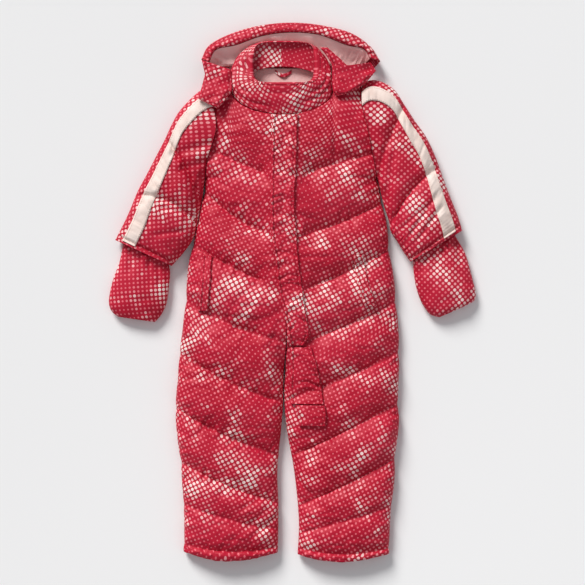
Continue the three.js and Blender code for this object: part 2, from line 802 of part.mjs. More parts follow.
function hoodReaders() {
  const read = (column) => rowReader(hoodStations, column);
  return {
    outerX: read('outerX'),
    outerY: read('outerY'),
    innerX: read('innerX'),
    innerY: read('innerY'),
    last: hoodStations.length - 1,
  };
}

function addHood() {
  const hood = hoodReaders();
  const columns = steps(HOOD_COLUMNS).map((t) => t * hood.last);
  const rows = steps(HOOD_ROWS).map((t) => Math.sin((Math.PI / 2) * t));
  const shellPoint = (height) => (station, out) => {
    const x = lerp(hood.outerX(station) * 0.94, hood.outerX(station), out);
    const y = lerp(HOOD_BASE_Y, hood.outerY(station), out);
    return new THREE.Vector3(x, y, height(out));
  };
  const under = (out) => HOOD_RIM_LOW * smooth((out - 0.72) / 0.28);
  const top = (out) => lerp(HOOD_WALL, HOOD_RIM_HIGH, smooth((out - 0.72) / 0.28));
  addPiece(
    'hood',
    'cloth',
    wallGeometry(grid(rows, columns, shellPoint(under)), grid(rows, columns, shellPoint(top))),
  );

  const liningPoint = (lift) => (station, out) => {
    const edgeX = hood.innerX(station);
    const edgeY = hood.innerY(station) - 1;
    const x = lerp(edgeX * 0.9, edgeX, out);
    const y = lerp(HOOD_BASE_Y + 1, edgeY, out);
    const rise = (BRIM_EDGE_Z - HOOD_WALL) * out ** LINING_SLOPE_POWER;
    return new THREE.Vector3(x, y, HOOD_WALL + SEAM_GAP + rise + lift);
  };
  const liningRows = steps(HOOD_ROWS).map((t) => Math.sin((Math.PI / 2) * t));
  addPiece(
    'hood_lining',
    'lining',
    wallGeometry(
      grid(liningRows, columns, liningPoint(LINING_THICKNESS)),
      grid(liningRows, columns, liningPoint(0)),
    ),
  );

  const brimPoint = (height) => (station, inward) => {
    const x = lerp(hood.outerX(station), hood.innerX(station), inward);
    const y = lerp(hood.outerY(station), hood.innerY(station), inward);
    return new THREE.Vector3(x, y, height(inward));
  };
  const brimUnder = (inward) =>
    lerp(HOOD_RIM_HIGH + SEAM_GAP, BRIM_EDGE_Z, Math.sqrt(clamp01(inward)));
  const brimTop = (inward) => brimUnder(inward) + 4 + 5 * dome(2 * inward - 1);
  const brimRows = steps(5);
  addPiece(
    'hood_brim',
    'cloth',
    wallGeometry(
      grid(brimRows, columns, brimPoint(brimTop)),
      grid(brimRows, columns, brimPoint(brimUnder)),
    ),
  );
}

// The highest point of the pieces already made that lies near a place of the surface
function highestNear(x, y, reach, names) {
  let highest = 0;
  for (const name of names) {
    const position = snowsuit.getObjectByName(name).geometry.getAttribute('position');
    for (let i = 0; i < position.count; i += 1) {
      const away = Math.hypot(position.getX(i) - x, position.getY(i) - y);
      if (away < reach) highest = Math.max(highest, position.getZ(i));
    }
  }
  return highest;
}

function addHoodCorner(side) {
  const table = hoodCorners[side];
  const leftX = rowReader(table, 'leftX');
  const leftY = rowReader(table, 'leftY');
  const rightX = rowReader(table, 'rightX');
  const rightY = rowReader(table, 'rightY');
  const below = [`front_${side}`, `sleeve_${side}`, `tape_${side}`, 'hood_brim', 'hood_lining'];
  const rows = steps(2 * (table.length - 1)).map((t) => t * (table.length - 1));
  const columns = steps(4);
  const cornerPoint = (lift) => (u, v) => {
    const x = lerp(leftX(v), rightX(v), u);
    const y = lerp(leftY(v), rightY(v), u);
    const rest = Math.max(CORNER_FLOOR, highestNear(x, y, CORNER_REACH, below)) + CORNER_CLEARANCE;
    return new THREE.Vector3(x, y, rest + lift(u));
  };
  const thickness = (u) => CORNER_THICKNESS * (0.5 + 0.5 * dome(2 * u - 1));
  addPiece(
    `hood_corner_${side}`,
    'cloth',
    wallGeometry(
      grid(rows, columns, cornerPoint(thickness)),
      grid(rows, columns, cornerPoint(() => 0)),
    ),
  );
}

// Lining of the back that shows through the neck, and the loop for hanging
function addNeckLining() {
  const rows = steps(4);
  const columns = steps(8);
  const point = (lift) => (u, v) =>
    new THREE.Vector3(lerp(-72, 38, u), lerp(379, 338, v), BACK_WALL + SEAM_GAP + lift);
  addPiece(
    'neck_lining',
    'lining',
    wallGeometry(grid(rows, columns, point(LINING_THICKNESS)), grid(rows, columns, point(0))),
  );
}

function addHangerLoop() {
  const LOOP = { left: -32, right: -4, y: 377, sag: 7, width: 5, thickness: 1.8 };
  const base = BACK_WALL + SEAM_GAP + LINING_THICKNESS + SEAM_GAP;
  const point = (lift) => (t, v) =>
    new THREE.Vector3(
      lerp(LOOP.left, LOOP.right, t),
      LOOP.y - LOOP.sag * Math.sin(Math.PI * t) - LOOP.width * v,
      base + lift,
    );
  const rows = steps(1);
  const columns = steps(10);
  addPiece(
    'hanger_loop',
    'cloth',
    wallGeometry(grid(rows, columns, point(LOOP.thickness)), grid(rows, columns, point(0))),
  );
}

const halves = { right: bodyHalf('right'), left: bodyHalf('left') };
for (const side of ['right', 'left']) {
  const half = halves[side];
  const sleeve = sleeveShape(side, half);
  addBodyHalf(side, half);
  addSleeve(side, sleeve);
  addTape(side, sleeve);
  addMitten(side, sleeve);
  addStrip(`pocket_welt_${side}`, pocketEdges[side], half.heightOver, POCKET_THICKNESS, 4, 8);
}

const centreX = reader(innerOutline.left, 'y', 'x');
const overFronts = (x, y) => (x < centreX(y) ? halves.right : halves.left).heightOver(x, y);
addStrip('placket', placketEdges, overFronts, PLACKET_THICKNESS, 4, 12);
addStrip('leg_placket', legPlacketEdges, overFronts, PLACKET_THICKNESS, 6, 8);
addStrip('zip_end_patch', zipEndEdges, overFronts, PLACKET_THICKNESS, 6, 8);
addCollar();
addHood();
addHoodCorner('right');
addHoodCorner('left');
addNeckLining();
addHangerLoop();

// The origin is the middle of the outline, on the surface that the suit lies on
const box = new THREE.Box3().setFromObject(snowsuit);
snowsuit.position.set(-(box.min.x + box.max.x) / 2, -(box.min.y + box.max.y) / 2, -box.min.z);
snowsuit.updateMatrixWorld(true);

export default snowsuit;
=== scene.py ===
"""A quilted baby snowsuit lying flat on its back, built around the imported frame.

Lengths in the tables are millimetres of the suit's own layout, X to the viewer's right and Y to the head.
Meshes are made in metres, in the frame's coordinates.
"""

import math

import bpy
import numpy as np
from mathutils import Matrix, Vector


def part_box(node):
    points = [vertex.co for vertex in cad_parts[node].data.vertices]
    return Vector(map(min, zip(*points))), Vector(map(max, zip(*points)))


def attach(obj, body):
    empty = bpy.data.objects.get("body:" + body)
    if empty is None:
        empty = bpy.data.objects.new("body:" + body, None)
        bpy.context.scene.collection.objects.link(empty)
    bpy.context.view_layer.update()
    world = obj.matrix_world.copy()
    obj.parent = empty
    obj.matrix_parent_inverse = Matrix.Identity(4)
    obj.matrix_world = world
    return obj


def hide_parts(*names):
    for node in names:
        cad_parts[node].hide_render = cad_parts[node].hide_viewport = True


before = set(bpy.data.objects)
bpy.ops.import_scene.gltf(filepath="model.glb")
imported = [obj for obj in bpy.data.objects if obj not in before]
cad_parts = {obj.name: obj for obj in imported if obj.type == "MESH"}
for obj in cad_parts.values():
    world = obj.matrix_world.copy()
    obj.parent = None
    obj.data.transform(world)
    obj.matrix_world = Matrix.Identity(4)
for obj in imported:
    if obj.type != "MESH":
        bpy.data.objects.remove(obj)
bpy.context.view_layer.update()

MM = 0.001


def table(columns, *rows):
    """Rows of values as dictionaries, under the names of the columns."""
    names = columns.split()
    return [dict(zip(names, row)) for row in rows]


# The layout's origin in the frame, found from the neck lining, whose middle is at NECK_LINING_MIDDLE
NECK_LINING = {"left": -72, "right": 38, "top": 379, "bottom": 338}
lining_low, lining_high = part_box("neck_lining")
SHIFT_X = (lining_low[0] + lining_high[0]) / 2 / MM - (NECK_LINING["left"] + NECK_LINING["right"]) / 2
SHIFT_Y = (lining_low[1] + lining_high[1]) / 2 / MM - (NECK_LINING["top"] + NECK_LINING["bottom"]) / 2

# Walls and gaps, as in the solids
SEAM_GAP = 0.3
EDGE_THICKNESS = 3
BACK_WALL = 9
LEAST_FRONT_WALL = 1.2
LEAST_STRIP_WALL = 0.8
SLEEVE_LOFT = 12
SLEEVE_WALL = 8
MITTEN_LOFT = 8
MITTEN_WALL = 6
COLLAR_WALL = 8
HOOD_WALL = 8
LINING_THICKNESS = 1.6
TAPE_THICKNESS = 1.2
ARMHOLE_GAP = 0.4
NECK_GAP = 1.5
SLEEVE_CLEARANCE = 0.5

# Underside of the fronts along the side seams, where they lie on the flat backs
FRONT_EDGE = BACK_WALL + SEAM_GAP

# Fullness of the padding
DOME_POWER = 2.4
CEILING_POWER = 3.5
QUILT_DEPTH = 12
QUILT_ROUNDNESS = 2.1

# Share of the distance along Y between two quilting rows that is left when it is measured across them
QUILT_SLANT = 0.92
STITCH_SHARE = 0.2
STITCH_WIDTH = 3.2
SCALLOP = 3
ARMHOLE_LIFT = 0.22
PLACKET_SHARE = 0.16

LEG_BLEND_TOP = -40
LEG_BLEND_LOW = -135
SHOULDER_Y = 350
SHOULDER_CLOSE_FROM = 336
SHOULDER_CLOSE_ACROSS = 0.66
SHOULDER_PEAK_Y = 357
SHOULDER_RISE_LENGTH = 9
NECK_END_SHARE = 0.97
UNDERARM_Y = 194

BODY_HEIGHTS = table(
    "y crown ceiling",
    (390, 26, 12), (345, 32, 16), (300, 44, 27), (200, 48, 31), (0, 47, 30), (-100, 43, 26.5),
    (-250, 40, 24), (-400, 37, 22.5), (-460, 30, 19),
)

SIDE_OUTLINE = {
    "right": table(
        "y x",
        (350, -141), (309, -134), (275, -131), (250, -138), (224, -146), (194, -150), (122, -162),
        (65, -176), (3, -183), (-65, -189), (-102, -195), (-150, -197), (-196, -202), (-243, -198),
        (-320, -190), (-398, -186), (-450, -188),
    ),
    "left": table(
        "y x",
        (350, 114), (318, 114), (292, 120), (255, 128), (194, 140), (122, 156), (65, 163), (10, 171),
        (-48, 176), (-107, 179), (-158, 177), (-220, 178), (-260, 174), (-320, 170), (-388, 163),
        (-450, 161),
    ),
}

INNER_OUTLINE = {
    "right": table(
        "y x",
        (390, -17), (131, -17), (20, -18), (-48, -13), (-85, -13), (-124, -16.4), (-158, -18),
        (-192, -18.4), (-235, -22), (-303, -28), (-370, -26), (-460, -28),
    ),
    "left": table(
        "y x",
        (390, -17), (131, -17), (20, -18), (-48, -13), (-85, -12), (-124, -14.6), (-158, -16.4),
        (-192, -16.2), (-235, -12), (-303, 0), (-388, 8), (-460, 5),
    ),
}

# Quilting rows from the neck to the hem
QUILT_ROWS = {
    "right": table(
        "centre side sag depth",
        (300, 350, 0, 0), (189, 241, 2, 1), (92, 170, 14, 1), (3, 78, 2, 1), (-84, -15, 8, 1),
        (-186, -104, 9, 1), (-276, -196, 8, 1), (-356, -289, 6, 1), (-402, -360, 4, 0.4),
        (-431, -428, 9, 0.5), (-441, -440, 14, 0.3),
    ),
    "left": table(
        "centre side sag depth",
        (300, 350, 0, 0), (186, 233, -4, 1), (90, 150, 8, 1), (-6, 71, 6, 1), (-94, -17, 4, 1),
        (-184, -102, 4, 1), (-277, -190, 2, 1), (-362, -282, 3, 1), (-408, -362, 2, 0.4),
        (-434, -434, 9, 0.5), (-444, -444, 12, 0.3),
    ),
}

BACK_NECKLINE = table(
    "across y",
    (0, 381), (0.5, 378), (0.75, 366), (1, 350),
)

SLEEVE_EDGES = {
    "right": table(
        "over_x over_y under_x under_y crown",
        (-143, 352, -151, 194, 40), (-172, 338, -154, 170, 41), (-192, 311, -156, 151, 42),
        (-207, 284, -159, 136, 42), (-219, 258, -162, 121, 42), (-233, 231, -166, 105, 41),
        (-248, 202, -170, 92, 40), (-265, 170, -177, 80, 40), (-280, 134, -186, 68, 38),
        (-292, 109, -196, 56, 36), (-303, 88, -207, 44, 32),
    ),
    "left": table(
        "over_x over_y under_x under_y crown",
        (118, 366, 142, 194, 40), (142, 372, 147, 170, 41), (166, 350, 151, 151, 42),
        (187, 317, 156, 134, 42), (204, 291, 161, 119, 42), (223, 264, 163, 105, 41),
        (238, 233, 168, 95, 40), (252, 195, 175, 85, 40), (265, 160, 182, 73, 38),
        (277, 130, 190, 61, 36), (285, 104, 197, 51, 32),
    ),
}
SLEEVE_SEAM = 14
SLEEVE_HEAD_ROWS = 2.5
SLEEVE_QUILT_DEPTH = 10
SLEEVE_SEEDS = {"right": 21, "left": 34}

# Lengths between two rows of a sleeve: on average, and along its over and under edges
SLEEVE_ROW_LENGTH = 27
OVER_STEP = 31
UNDER_STEP = 15
SLEEVE_GROOVES = {
    "right": table(
        "over_row under_row depth reach",
        (3.9, 2.2, 1, 26), (7.2, 4.4, 1, 26), (9.6, 9.6, 0.5, 5),
    ),
    "left": table(
        "over_row under_row depth reach",
        (3.0, 1.2, 1, 26), (6.6, 4.6, 1, 26), (9.6, 9.6, 0.5, 5),
    ),
}

MITTEN_EDGES = {
    "right": table(
        "far_x far_y near_x near_y crown",
        (-296, 51, -210, 31, 25), (-306, 24, -212, 8, 27), (-312, 0, -215, -14, 27),
        (-314, -19, -219, -27, 25), (-309, -33, -226, -40, 22), (-298, -42, -236, -51, 17),
    ),
    "left": table(
        "far_x far_y near_x near_y crown",
        (290, 66, 203, 32, 25), (298, 40, 207, 8, 27), (304, 17, 214, -13, 27), (308, 0, 221, -26, 25),
        (306, -14, 231, -38, 22), (292, -23, 246, -43, 17),
    ),
}
MITTEN_SEAM = 10
MITTEN_CUFF_FROM = 0.14
MITTEN_CUFF_TO = 0.95
MITTEN_CUFF_CROWN = 24

# How far down the bag its inside reaches
MITTEN_INSIDE_SHARE = 0.85

PLACKET_EDGES = table(
    "y left right",
    (298, -36, 7), (241, -38, 5), (131, -39, 2), (88, -37, 5), (54, -32, 8), (20, -28, 13),
    (-14, -22, 17), (-48, -14, 22), (-73, -10, 25), (-90, -7, 16),
)
LEG_PLACKET_EDGES = table(
    "y left right",
    (-93, -6, 29), (-124, -6, 39), (-158, -7, 46), (-189, -5, 50),
)
ZIP_END_EDGES = table(
    "y left right",
    (-191, 2, 53), (-208, 5, 54), (-226, 9, 54),
)
POCKET_EDGES = {
    "right": table(
        "y left right",
        (62, -155, -138), (15, -158, -141), (-32, -162, -145),
    ),
    "left": table(
        "y left right",
        (62, 99, 116), (15, 108, 126), (-24, 119, 138),
    ),
}
PLACKET_THICKNESS = 4
POCKET_THICKNESS = 3
STRIP_LIFT = 0.9

TAPE_INSET = 12
TAPE_WIDTH = 24

# The collar's base, its widest line and its rim
COLLAR_LINES = table(
    "x y half_width half_depth z rise power",
    (-20, 340.5, 84, 40.5, 28.5, 16.5, 1), (-22, 372, 82, 46, 32, 19, 0.85),
    (-17, 387, 56, 35, 37, 16, 0.4),
)
COLLAR_BASE = COLLAR_LINES[0]

HOOD_STATIONS = table(
    "outer_x outer_y inner_x inner_y",
    (-157, 394, -143, 389), (-143, 418, -131, 410), (-105, 438, -97, 418), (-58, 451, -54, 433),
    (-7, 456, -7, 439), (44, 452, 42, 435), (95, 439, 88, 418), (129, 416, 117, 411),
    (146, 391, 128, 395),
)
HOOD_BASE_Y = 381.5
HOOD_BASE_SHARE = 0.94
LINING_BASE_SHARE = 0.9
HOOD_RIM_LOW = 9
HOOD_RIM_HIGH = 13
BRIM_EDGE_Z = 24
LINING_SLOPE_POWER = 2.2

HOOD_CORNERS = {
    "right": table(
        "left_x left_y right_x right_y",
        (-155.5, 391, -107, 375), (-150, 367, -104, 358), (-156, 343, -104, 339),
        (-162, 326, -116, 322), (-144, 316, -128, 308),
    ),
    "left": table(
        "left_x left_y right_x right_y",
        (44, 412, 56, 412), (54.5, 399, 77, 394), (63.4, 384, 92, 379), (64.4, 374, 130, 388),
        (64.4, 365, 139, 374), (64.4, 350, 121, 352), (65.6, 338, 101, 339), (73, 330, 82, 332),
    ),
}
CORNER_THICKNESS = 9
CORNER_ROW_LENGTH = 14
CORNER_NEAREST_POINTS = 4
CORNER_SOFTENING = 40
CORNER_TIP = {"x": 104, "y": 364, "z": 20}
FLAP_LIFT = 5
FLAP_LIFT_FROM = -475

# Direction of the dot rows on each piece, in degrees from the X axis
DOT_TURN = {"body": 28, "sleeve_right": 4, "sleeve_left": 42, "hood": 20}

TAU = 2 * math.pi


def lerp(a, b, t):
    return a + (b - a) * t


def smooth(t):
    s = np.clip(t, 0, 1)
    return s * s * (3 - 2 * s)


def near(distance, width):
    """From 1 at no distance to almost 0 at two widths."""
    return np.exp(-((distance / width) ** 2))


def grid(rows, columns, last_row=1, first_row=0):
    """Places down the rows and shares across the columns of a grid."""
    return np.meshgrid(np.linspace(first_row, last_row, rows), np.linspace(0, 1, columns), indexing="ij")


def ring_grid(rows, columns, last_row, first_angle=0):
    """Places down the rows and angles round the columns of a closed ring."""
    angles = np.linspace(first_angle, first_angle + TAU, columns, endpoint=False)
    return np.meshgrid(np.linspace(0, last_row, rows), angles, indexing="ij")


def closed_ring(points):
    """A ring of points with its first column repeated at the end."""
    return np.concatenate([points, points[:, :1]], axis=1)


def unit(vectors):
    """Vectors of length one that point the same way."""
    return vectors / np.maximum(np.linalg.norm(vectors, axis=-1, keepdims=True), 1e-9)


def distances(line):
    """How far along a line each of its points lies."""
    return np.concatenate([[0], np.cumsum(np.linalg.norm(np.diff(line, axis=0), axis=-1))])


def line_length(line):
    """Length of a line of points, in metres."""
    return float(distances(line)[-1]) * MM


def reader(entries, along, value):
    """A smooth curve through one column of a table, read along another column."""
    rows = sorted(entries, key=lambda row: row[along])
    at = np.array([row[along] for row in rows], float)
    values = np.array([row[value] for row in rows], float)
    before = np.maximum(np.arange(len(rows)) - 1, 0)
    after = np.minimum(np.arange(len(rows)) + 1, len(rows) - 1)
    slopes = (values[after] - values[before]) / (at[after] - at[before])

    def read(place):
        place = np.asarray(place, float)
        i = np.clip(np.searchsorted(at, place, side="left") - 1, 0, len(rows) - 2)
        span = at[i + 1] - at[i]
        t = np.clip((place - at[i]) / span, 0, 1)
        start = (2 * t**3 - 3 * t**2 + 1) * values[i] + (t**3 - 2 * t**2 + t) * span * slopes[i]
        end = (3 * t**2 - 2 * t**3) * values[i + 1] + (t**3 - t**2) * span * slopes[i + 1]
        return start + end

    return read


def row_reader(entries, value):
    """The same, with the row number as the place along the table."""
    return reader([{"at": i, "value": row[value]} for i, row in enumerate(entries)], "at", "value")


def dome(across, power=DOME_POWER):
    """Height of a lying padded shape across its width, from 1 at the middle to 0 at an edge."""
    return np.sqrt(np.maximum(0, 1 - np.abs(across) ** power))


def random_at(ix, iy, seed):
    """A steady random number from 0 to 1 for each pair of whole numbers."""
    mixed = np.sin(ix * 127.1 + iy * 311.7 + seed * 74.7) * 43758.5453
    return mixed - np.floor(mixed)


def ripple(x, y, seed):
    """Smooth noise from -1 to 1 with features about one unit across."""
    x, y = np.broadcast_arrays(np.asarray(x, float), np.asarray(y, float))
    ix, iy = np.floor(x), np.floor(y)
    fx, fy = smooth(x - ix), smooth(y - iy)
    low = lerp(random_at(ix, iy, seed), random_at(ix + 1, iy, seed), fx)
    high = lerp(random_at(ix, iy + 1, seed), random_at(ix + 1, iy + 1, seed), fx)
    return 2 * lerp(low, high, fy) - 1


def creased(x, y, seed):
    """Soft puffs with sharp valleys between them, about -0.6 to 1."""
    return 1.6 * np.abs(ripple(x, y, seed)) - 0.6


def stack(x, y, z):
    return np.stack(np.broadcast_arrays(x, y, z), axis=-1)


def grid_normals(points):
    """Unit normals of a grid of points, which point up for a grid that runs left to right and down."""
    return unit(np.cross(np.gradient(points, axis=0), np.gradient(points, axis=1)))


def turned(x, y, degrees):
    """Places in a layout turned against the direction of the dot rows."""
    angle = math.radians(degrees)
    u = x * math.cos(angle) + y * math.sin(angle)
    v = y * math.cos(angle) - x * math.sin(angle)
    return np.stack([u, v], axis=-1)


def cloth_uv(points, turn):
    """Layout of the cloth in millimetres, unrolled along each row from its left column, and turned."""
    along = np.stack([distances(row) for row in points])
    direction = unit(points[:, -1, :2] - points[:, 0, :2])
    flat = points[:, :1, :2] + direction[:, None] * along[..., None]
    return turned(flat[..., 0], flat[..., 1], turn)


def wall_mesh(name, outer, inner, uv, wrap=False, cap=False):
    """A closed wall between an outer and an inner grid of points, in millimetres of the layout."""
    rows, columns = outer.shape[:2]
    points = np.concatenate([outer.reshape(-1, 3), inner.reshape(-1, 3)])
    inner_start = rows * columns
    faces, corners_uv = [], []

    def add(*corners):
        """Quads from the row, the column and the side of each corner, 0 for outer and 1 for inner."""
        points_at = [side * inner_start + r * columns + c % columns for r, c, side in corners]
        uv_at = [uv[r, np.minimum(c, uv.shape[1] - 1)] for r, c, side in corners]
        faces.append(np.stack(points_at, axis=1))
        corners_uv.append(np.stack(uv_at, axis=1))

    down = np.arange(rows - 1)
    across = np.arange(columns if wrap else columns - 1)
    r, c = (part.ravel() for part in np.meshgrid(down, across, indexing="ij"))
    first, last = np.zeros_like(across), np.full_like(across, rows - 1)
    left, right = np.zeros_like(down), np.full_like(down, columns - 1)
    add((r, c, 0), (r, c + 1, 0), (r + 1, c + 1, 0), (r + 1, c, 0))
    add((r, c, 1), (r + 1, c, 1), (r + 1, c + 1, 1), (r, c + 1, 1))
    add((first, across + 1, 0), (first, across, 0), (first, across, 1), (first, across + 1, 1))
    if not cap:
        add((last, across, 0), (last, across + 1, 0), (last, across + 1, 1), (last, across, 1))
    if not wrap:
        add((down, left, 0), (down + 1, left, 0), (down + 1, left, 1), (down, left, 1))
        add((down + 1, right, 0), (down, right, 0), (down, right, 1), (down + 1, right, 1))
    loops = np.concatenate(faces)
    loop_uv = np.concatenate(corners_uv).reshape(-1, 2)
    sizes = [4] * len(loops)
    loops = loops.ravel()
    if cap:
        middles = np.array([outer[-1].mean(axis=0), inner[-1].mean(axis=0)])
        points = np.concatenate([points, middles])
        uv_middle = uv[-1].mean(axis=0)
        for column in range(columns):
            here = inner_start - columns + column
            after = inner_start - columns + (column + 1) % columns
            outside = [here, after, len(points) - 2]
            inside = [inner_start + after, inner_start + here, len(points) - 1]
            loops = np.concatenate([loops, outside, inside])
            tip = [uv[-1, column], uv[-1, column + 1], uv_middle]
            loop_uv = np.concatenate([loop_uv, tip, [tip[1], tip[0], tip[2]]])
            sizes += [3, 3]
    return make_mesh(name, points, loops, sizes, loop_uv)


def add_object(name, data):
    """A new object in the scene."""
    made = bpy.data.objects.new(name, data)
    bpy.context.scene.collection.objects.link(made)
    return made


def make_mesh(name, points, loops, sizes, loop_uv):
    """A smooth mesh from points in millimetres of the layout, turned so that its faces point out."""
    moved = (np.asarray(points) + [SHIFT_X, SHIFT_Y, 0]) * MM
    starts = np.concatenate([[0], np.cumsum(sizes)[:-1]]).astype(int)
    loops = np.asarray(loops, int)
    sizes = np.asarray(sizes, int)
    volume = 0.0
    for corner in range(2, sizes.max()):
        has = sizes > corner
        a, b, c = (moved[loops[starts[has] + step]] for step in (0, corner - 1, corner))
        volume += float((a * np.cross(b, c)).sum())
    if volume < 0:
        order = np.concatenate([np.arange(s, s + n)[::-1] for s, n in zip(starts, sizes)])
        loops, loop_uv = loops[order], loop_uv[order]
    mesh = bpy.data.meshes.new(name)
    mesh.vertices.add(len(moved))
    mesh.vertices.foreach_set("co", moved.ravel())
    mesh.loops.add(len(loops))
    mesh.loops.foreach_set("vertex_index", loops)
    mesh.polygons.add(len(sizes))
    mesh.polygons.foreach_set("loop_start", starts)
    mesh.polygons.foreach_set("loop_total", sizes)
    layer = mesh.uv_layers.new(name="cloth")
    layer.data.foreach_set("uv", (loop_uv * MM).ravel())
    mesh.polygons.foreach_set("use_smooth", np.ones(len(sizes), bool))
    mesh.update(calc_edges=True)
    mesh.validate()
    return add_object(name, mesh)


# Materials


def node_tree(name):
    material = bpy.data.materials.new(name)
    material.use_nodes = True
    tree = material.node_tree
    return material, tree, tree.nodes["Principled BSDF"]


def add_node(tree, kind, output, inputs, **settings):
    """Adds a node, with its inputs linked to outputs or set to constants, and gives one output."""
    node = tree.nodes.new(f"ShaderNode{kind}")
    for name, value in settings.items():
        setattr(node, name, value)
    for name, value in inputs.items():
        if isinstance(value, bpy.types.NodeSocket):
            tree.links.new(value, node.inputs[name])
        else:
            node.inputs[name].default_value = value
    return node.outputs[output]


def cloth_layout(tree):
    return add_node(tree, "UVMap", "UV", {}, uv_map="cloth")


def math_node(tree, operation, first, second):
    return add_node(tree, "Math", 0, {0: first, 1: second}, operation=operation)


def vector_node(tree, operation, output, **inputs):
    sockets = {"first": 0, "second": 1, "scale": "Scale"}
    named = {sockets[name]: value for name, value in inputs.items()}
    return add_node(tree, "VectorMath", output, named, operation=operation)


def noise_node(tree, vector, scale, detail=2.0, roughness=0.5):
    inputs = {"Scale": scale, "Detail": detail, "Roughness": roughness, "Vector": vector}
    return add_node(tree, "TexNoise", "Fac", inputs)


def ramp_node(tree, value, low, high, to_low=0.0, to_high=1.0, steps="LINEAR"):
    inputs = {"From Min": low, "From Max": high, "To Min": to_low, "To Max": to_high, "Value": value}
    return add_node(tree, "MapRange", "Result", inputs, interpolation_type=steps)


def mix_node(tree, share, first, second):
    return add_node(tree, "Mix", "Result", {"Factor": share, "A": first, "B": second}, data_type="RGBA")


def two_tones(tree, noise, dark, light):
    """A colour that drifts between two tones."""
    return mix_node(tree, ramp_node(tree, noise, 0.3, 0.7), dark, light)


def bump_node(tree, height, distance, strength, **before):
    inputs = {"Distance": distance, "Strength": strength, "Height": height}
    return add_node(tree, "Bump", "Normal", {**inputs, **before})


DOT_PITCH = 0.0072
DOT_RADIUS_LEAST = 0.17
DOT_RADIUS_MOST = 0.38
DOT_BLUR = 0.05
RED = (0.53, 0.012, 0.040, 1)
DEEP_RED = (0.43, 0.003, 0.022, 1)
DIM_DOT = (0.80, 0.165, 0.205, 1)
PALE_DOT = (0.98, 0.80, 0.76, 1)
LINING_TONES = ((0.93, 0.51, 0.49, 1), (0.98, 0.66, 0.63, 1))
TAPE_TONES = ((0.80, 0.62, 0.55, 1), (0.92, 0.78, 0.71, 1))
THREAD_TONES = ((0.30, 0.012, 0.024, 1), (0.46, 0.03, 0.05, 1))
FLOOR_TONES = ((0.88, 0.88, 0.88, 1), (0.92, 0.92, 0.92, 1))


def printed_cloth():
    """Red woven shell with a halftone of dots, whose size and paleness drift across the cloth."""
    material, tree, shader = node_tree("printed_cloth")
    layout = cloth_layout(tree)
    scaled = vector_node(tree, "SCALE", "Vector", first=layout, scale=1 / DOT_PITCH)
    cell = vector_node(tree, "FLOOR", "Vector", first=scaled)
    middle = vector_node(tree, "ADD", "Vector", first=cell, second=(0.5, 0.5, 0.0))
    away = vector_node(tree, "DISTANCE", "Value", first=scaled, second=middle)
    drift = noise_node(tree, middle, 0.085, detail=1.0)
    patches = noise_node(tree, middle, 0.2, detail=1.0)
    each = noise_node(tree, middle, 2.3, detail=0.0)
    halves = (math_node(tree, "MULTIPLY", noise, 0.5) for noise in (drift, patches))
    spread = math_node(tree, "MULTIPLY", math_node(tree, "SUBTRACT", each, 0.5), 0.2)
    level = math_node(tree, "ADD", math_node(tree, "ADD", *halves), spread)
    size = ramp_node(tree, level, 0.38, 0.64, DOT_RADIUS_LEAST, DOT_RADIUS_MOST)
    inside = math_node(tree, "SUBTRACT", size, away)
    dot = ramp_node(tree, inside, -DOT_BLUR, DOT_BLUR, steps="SMOOTHSTEP")
    ink = mix_node(tree, ramp_node(tree, level, 0.50, 0.65), DIM_DOT, PALE_DOT)
    ground = two_tones(tree, noise_node(tree, layout, 7.0, detail=3.0), DEEP_RED, RED)
    colour = mix_node(tree, math_node(tree, "MULTIPLY", dot, 0.92), ground, ink)
    tree.links.new(colour, shader.inputs["Base Color"])
    crinkle = noise_node(tree, layout, 160.0, detail=3.0, roughness=0.6)
    weave = noise_node(tree, layout, 1400.0, detail=1.0)
    normal = bump_node(tree, crinkle, 0.0012, 0.6)
    tree.links.new(bump_node(tree, weave, 0.0002, 0.35, Normal=normal), shader.inputs["Normal"])
    shader.inputs["Roughness"].default_value = 0.52
    shader.inputs["Specular IOR Level"].default_value = 0.22
    shader.inputs["Sheen Weight"].default_value = 0.02
    shader.inputs["Sheen Roughness"].default_value = 0.4
    return material


def lining_cloth():
    """Matt pale pink lining with a fine knit."""
    material, tree, shader = node_tree("lining_cloth")
    layout = cloth_layout(tree)
    colour = two_tones(tree, noise_node(tree, layout, 30.0, detail=3.0), *LINING_TONES)
    tree.links.new(colour, shader.inputs["Base Color"])
    crinkle = noise_node(tree, layout, 120.0, detail=3.0)
    knit = noise_node(tree, layout, 1100.0, detail=1.0)
    normal = bump_node(tree, crinkle, 0.001, 0.5)
    tree.links.new(bump_node(tree, knit, 0.0003, 0.5, Normal=normal), shader.inputs["Normal"])
    shader.inputs["Roughness"].default_value = 0.9
    shader.inputs["Sheen Weight"].default_value = 0.3
    return material


def tape_cloth():
    """Cream twill tape with a fine rib."""
    material, tree, shader = node_tree("tape_cloth")
    layout = cloth_layout(tree)
    colour = two_tones(tree, noise_node(tree, layout, 40.0, detail=3.0), *TAPE_TONES)
    tree.links.new(colour, shader.inputs["Base Color"])
    rib = add_node(tree, "TexWave", "Fac", {"Scale": 420, "Distortion": 0.6, "Vector": layout})
    tree.links.new(bump_node(tree, rib, 0.0003, 0.5), shader.inputs["Normal"])
    shader.inputs["Roughness"].default_value = 0.75
    return material


def thread_cloth():
    """Red sewing thread with a twist."""
    material, tree, shader = node_tree("thread")
    place = add_node(tree, "TexCoord", "Object", {})
    twist = noise_node(tree, place, 900.0)
    tree.links.new(two_tones(tree, twist, *THREAD_TONES), shader.inputs["Base Color"])
    tree.links.new(bump_node(tree, twist, 0.0002, 0.6), shader.inputs["Normal"])
    shader.inputs["Roughness"].default_value = 0.6
    return material


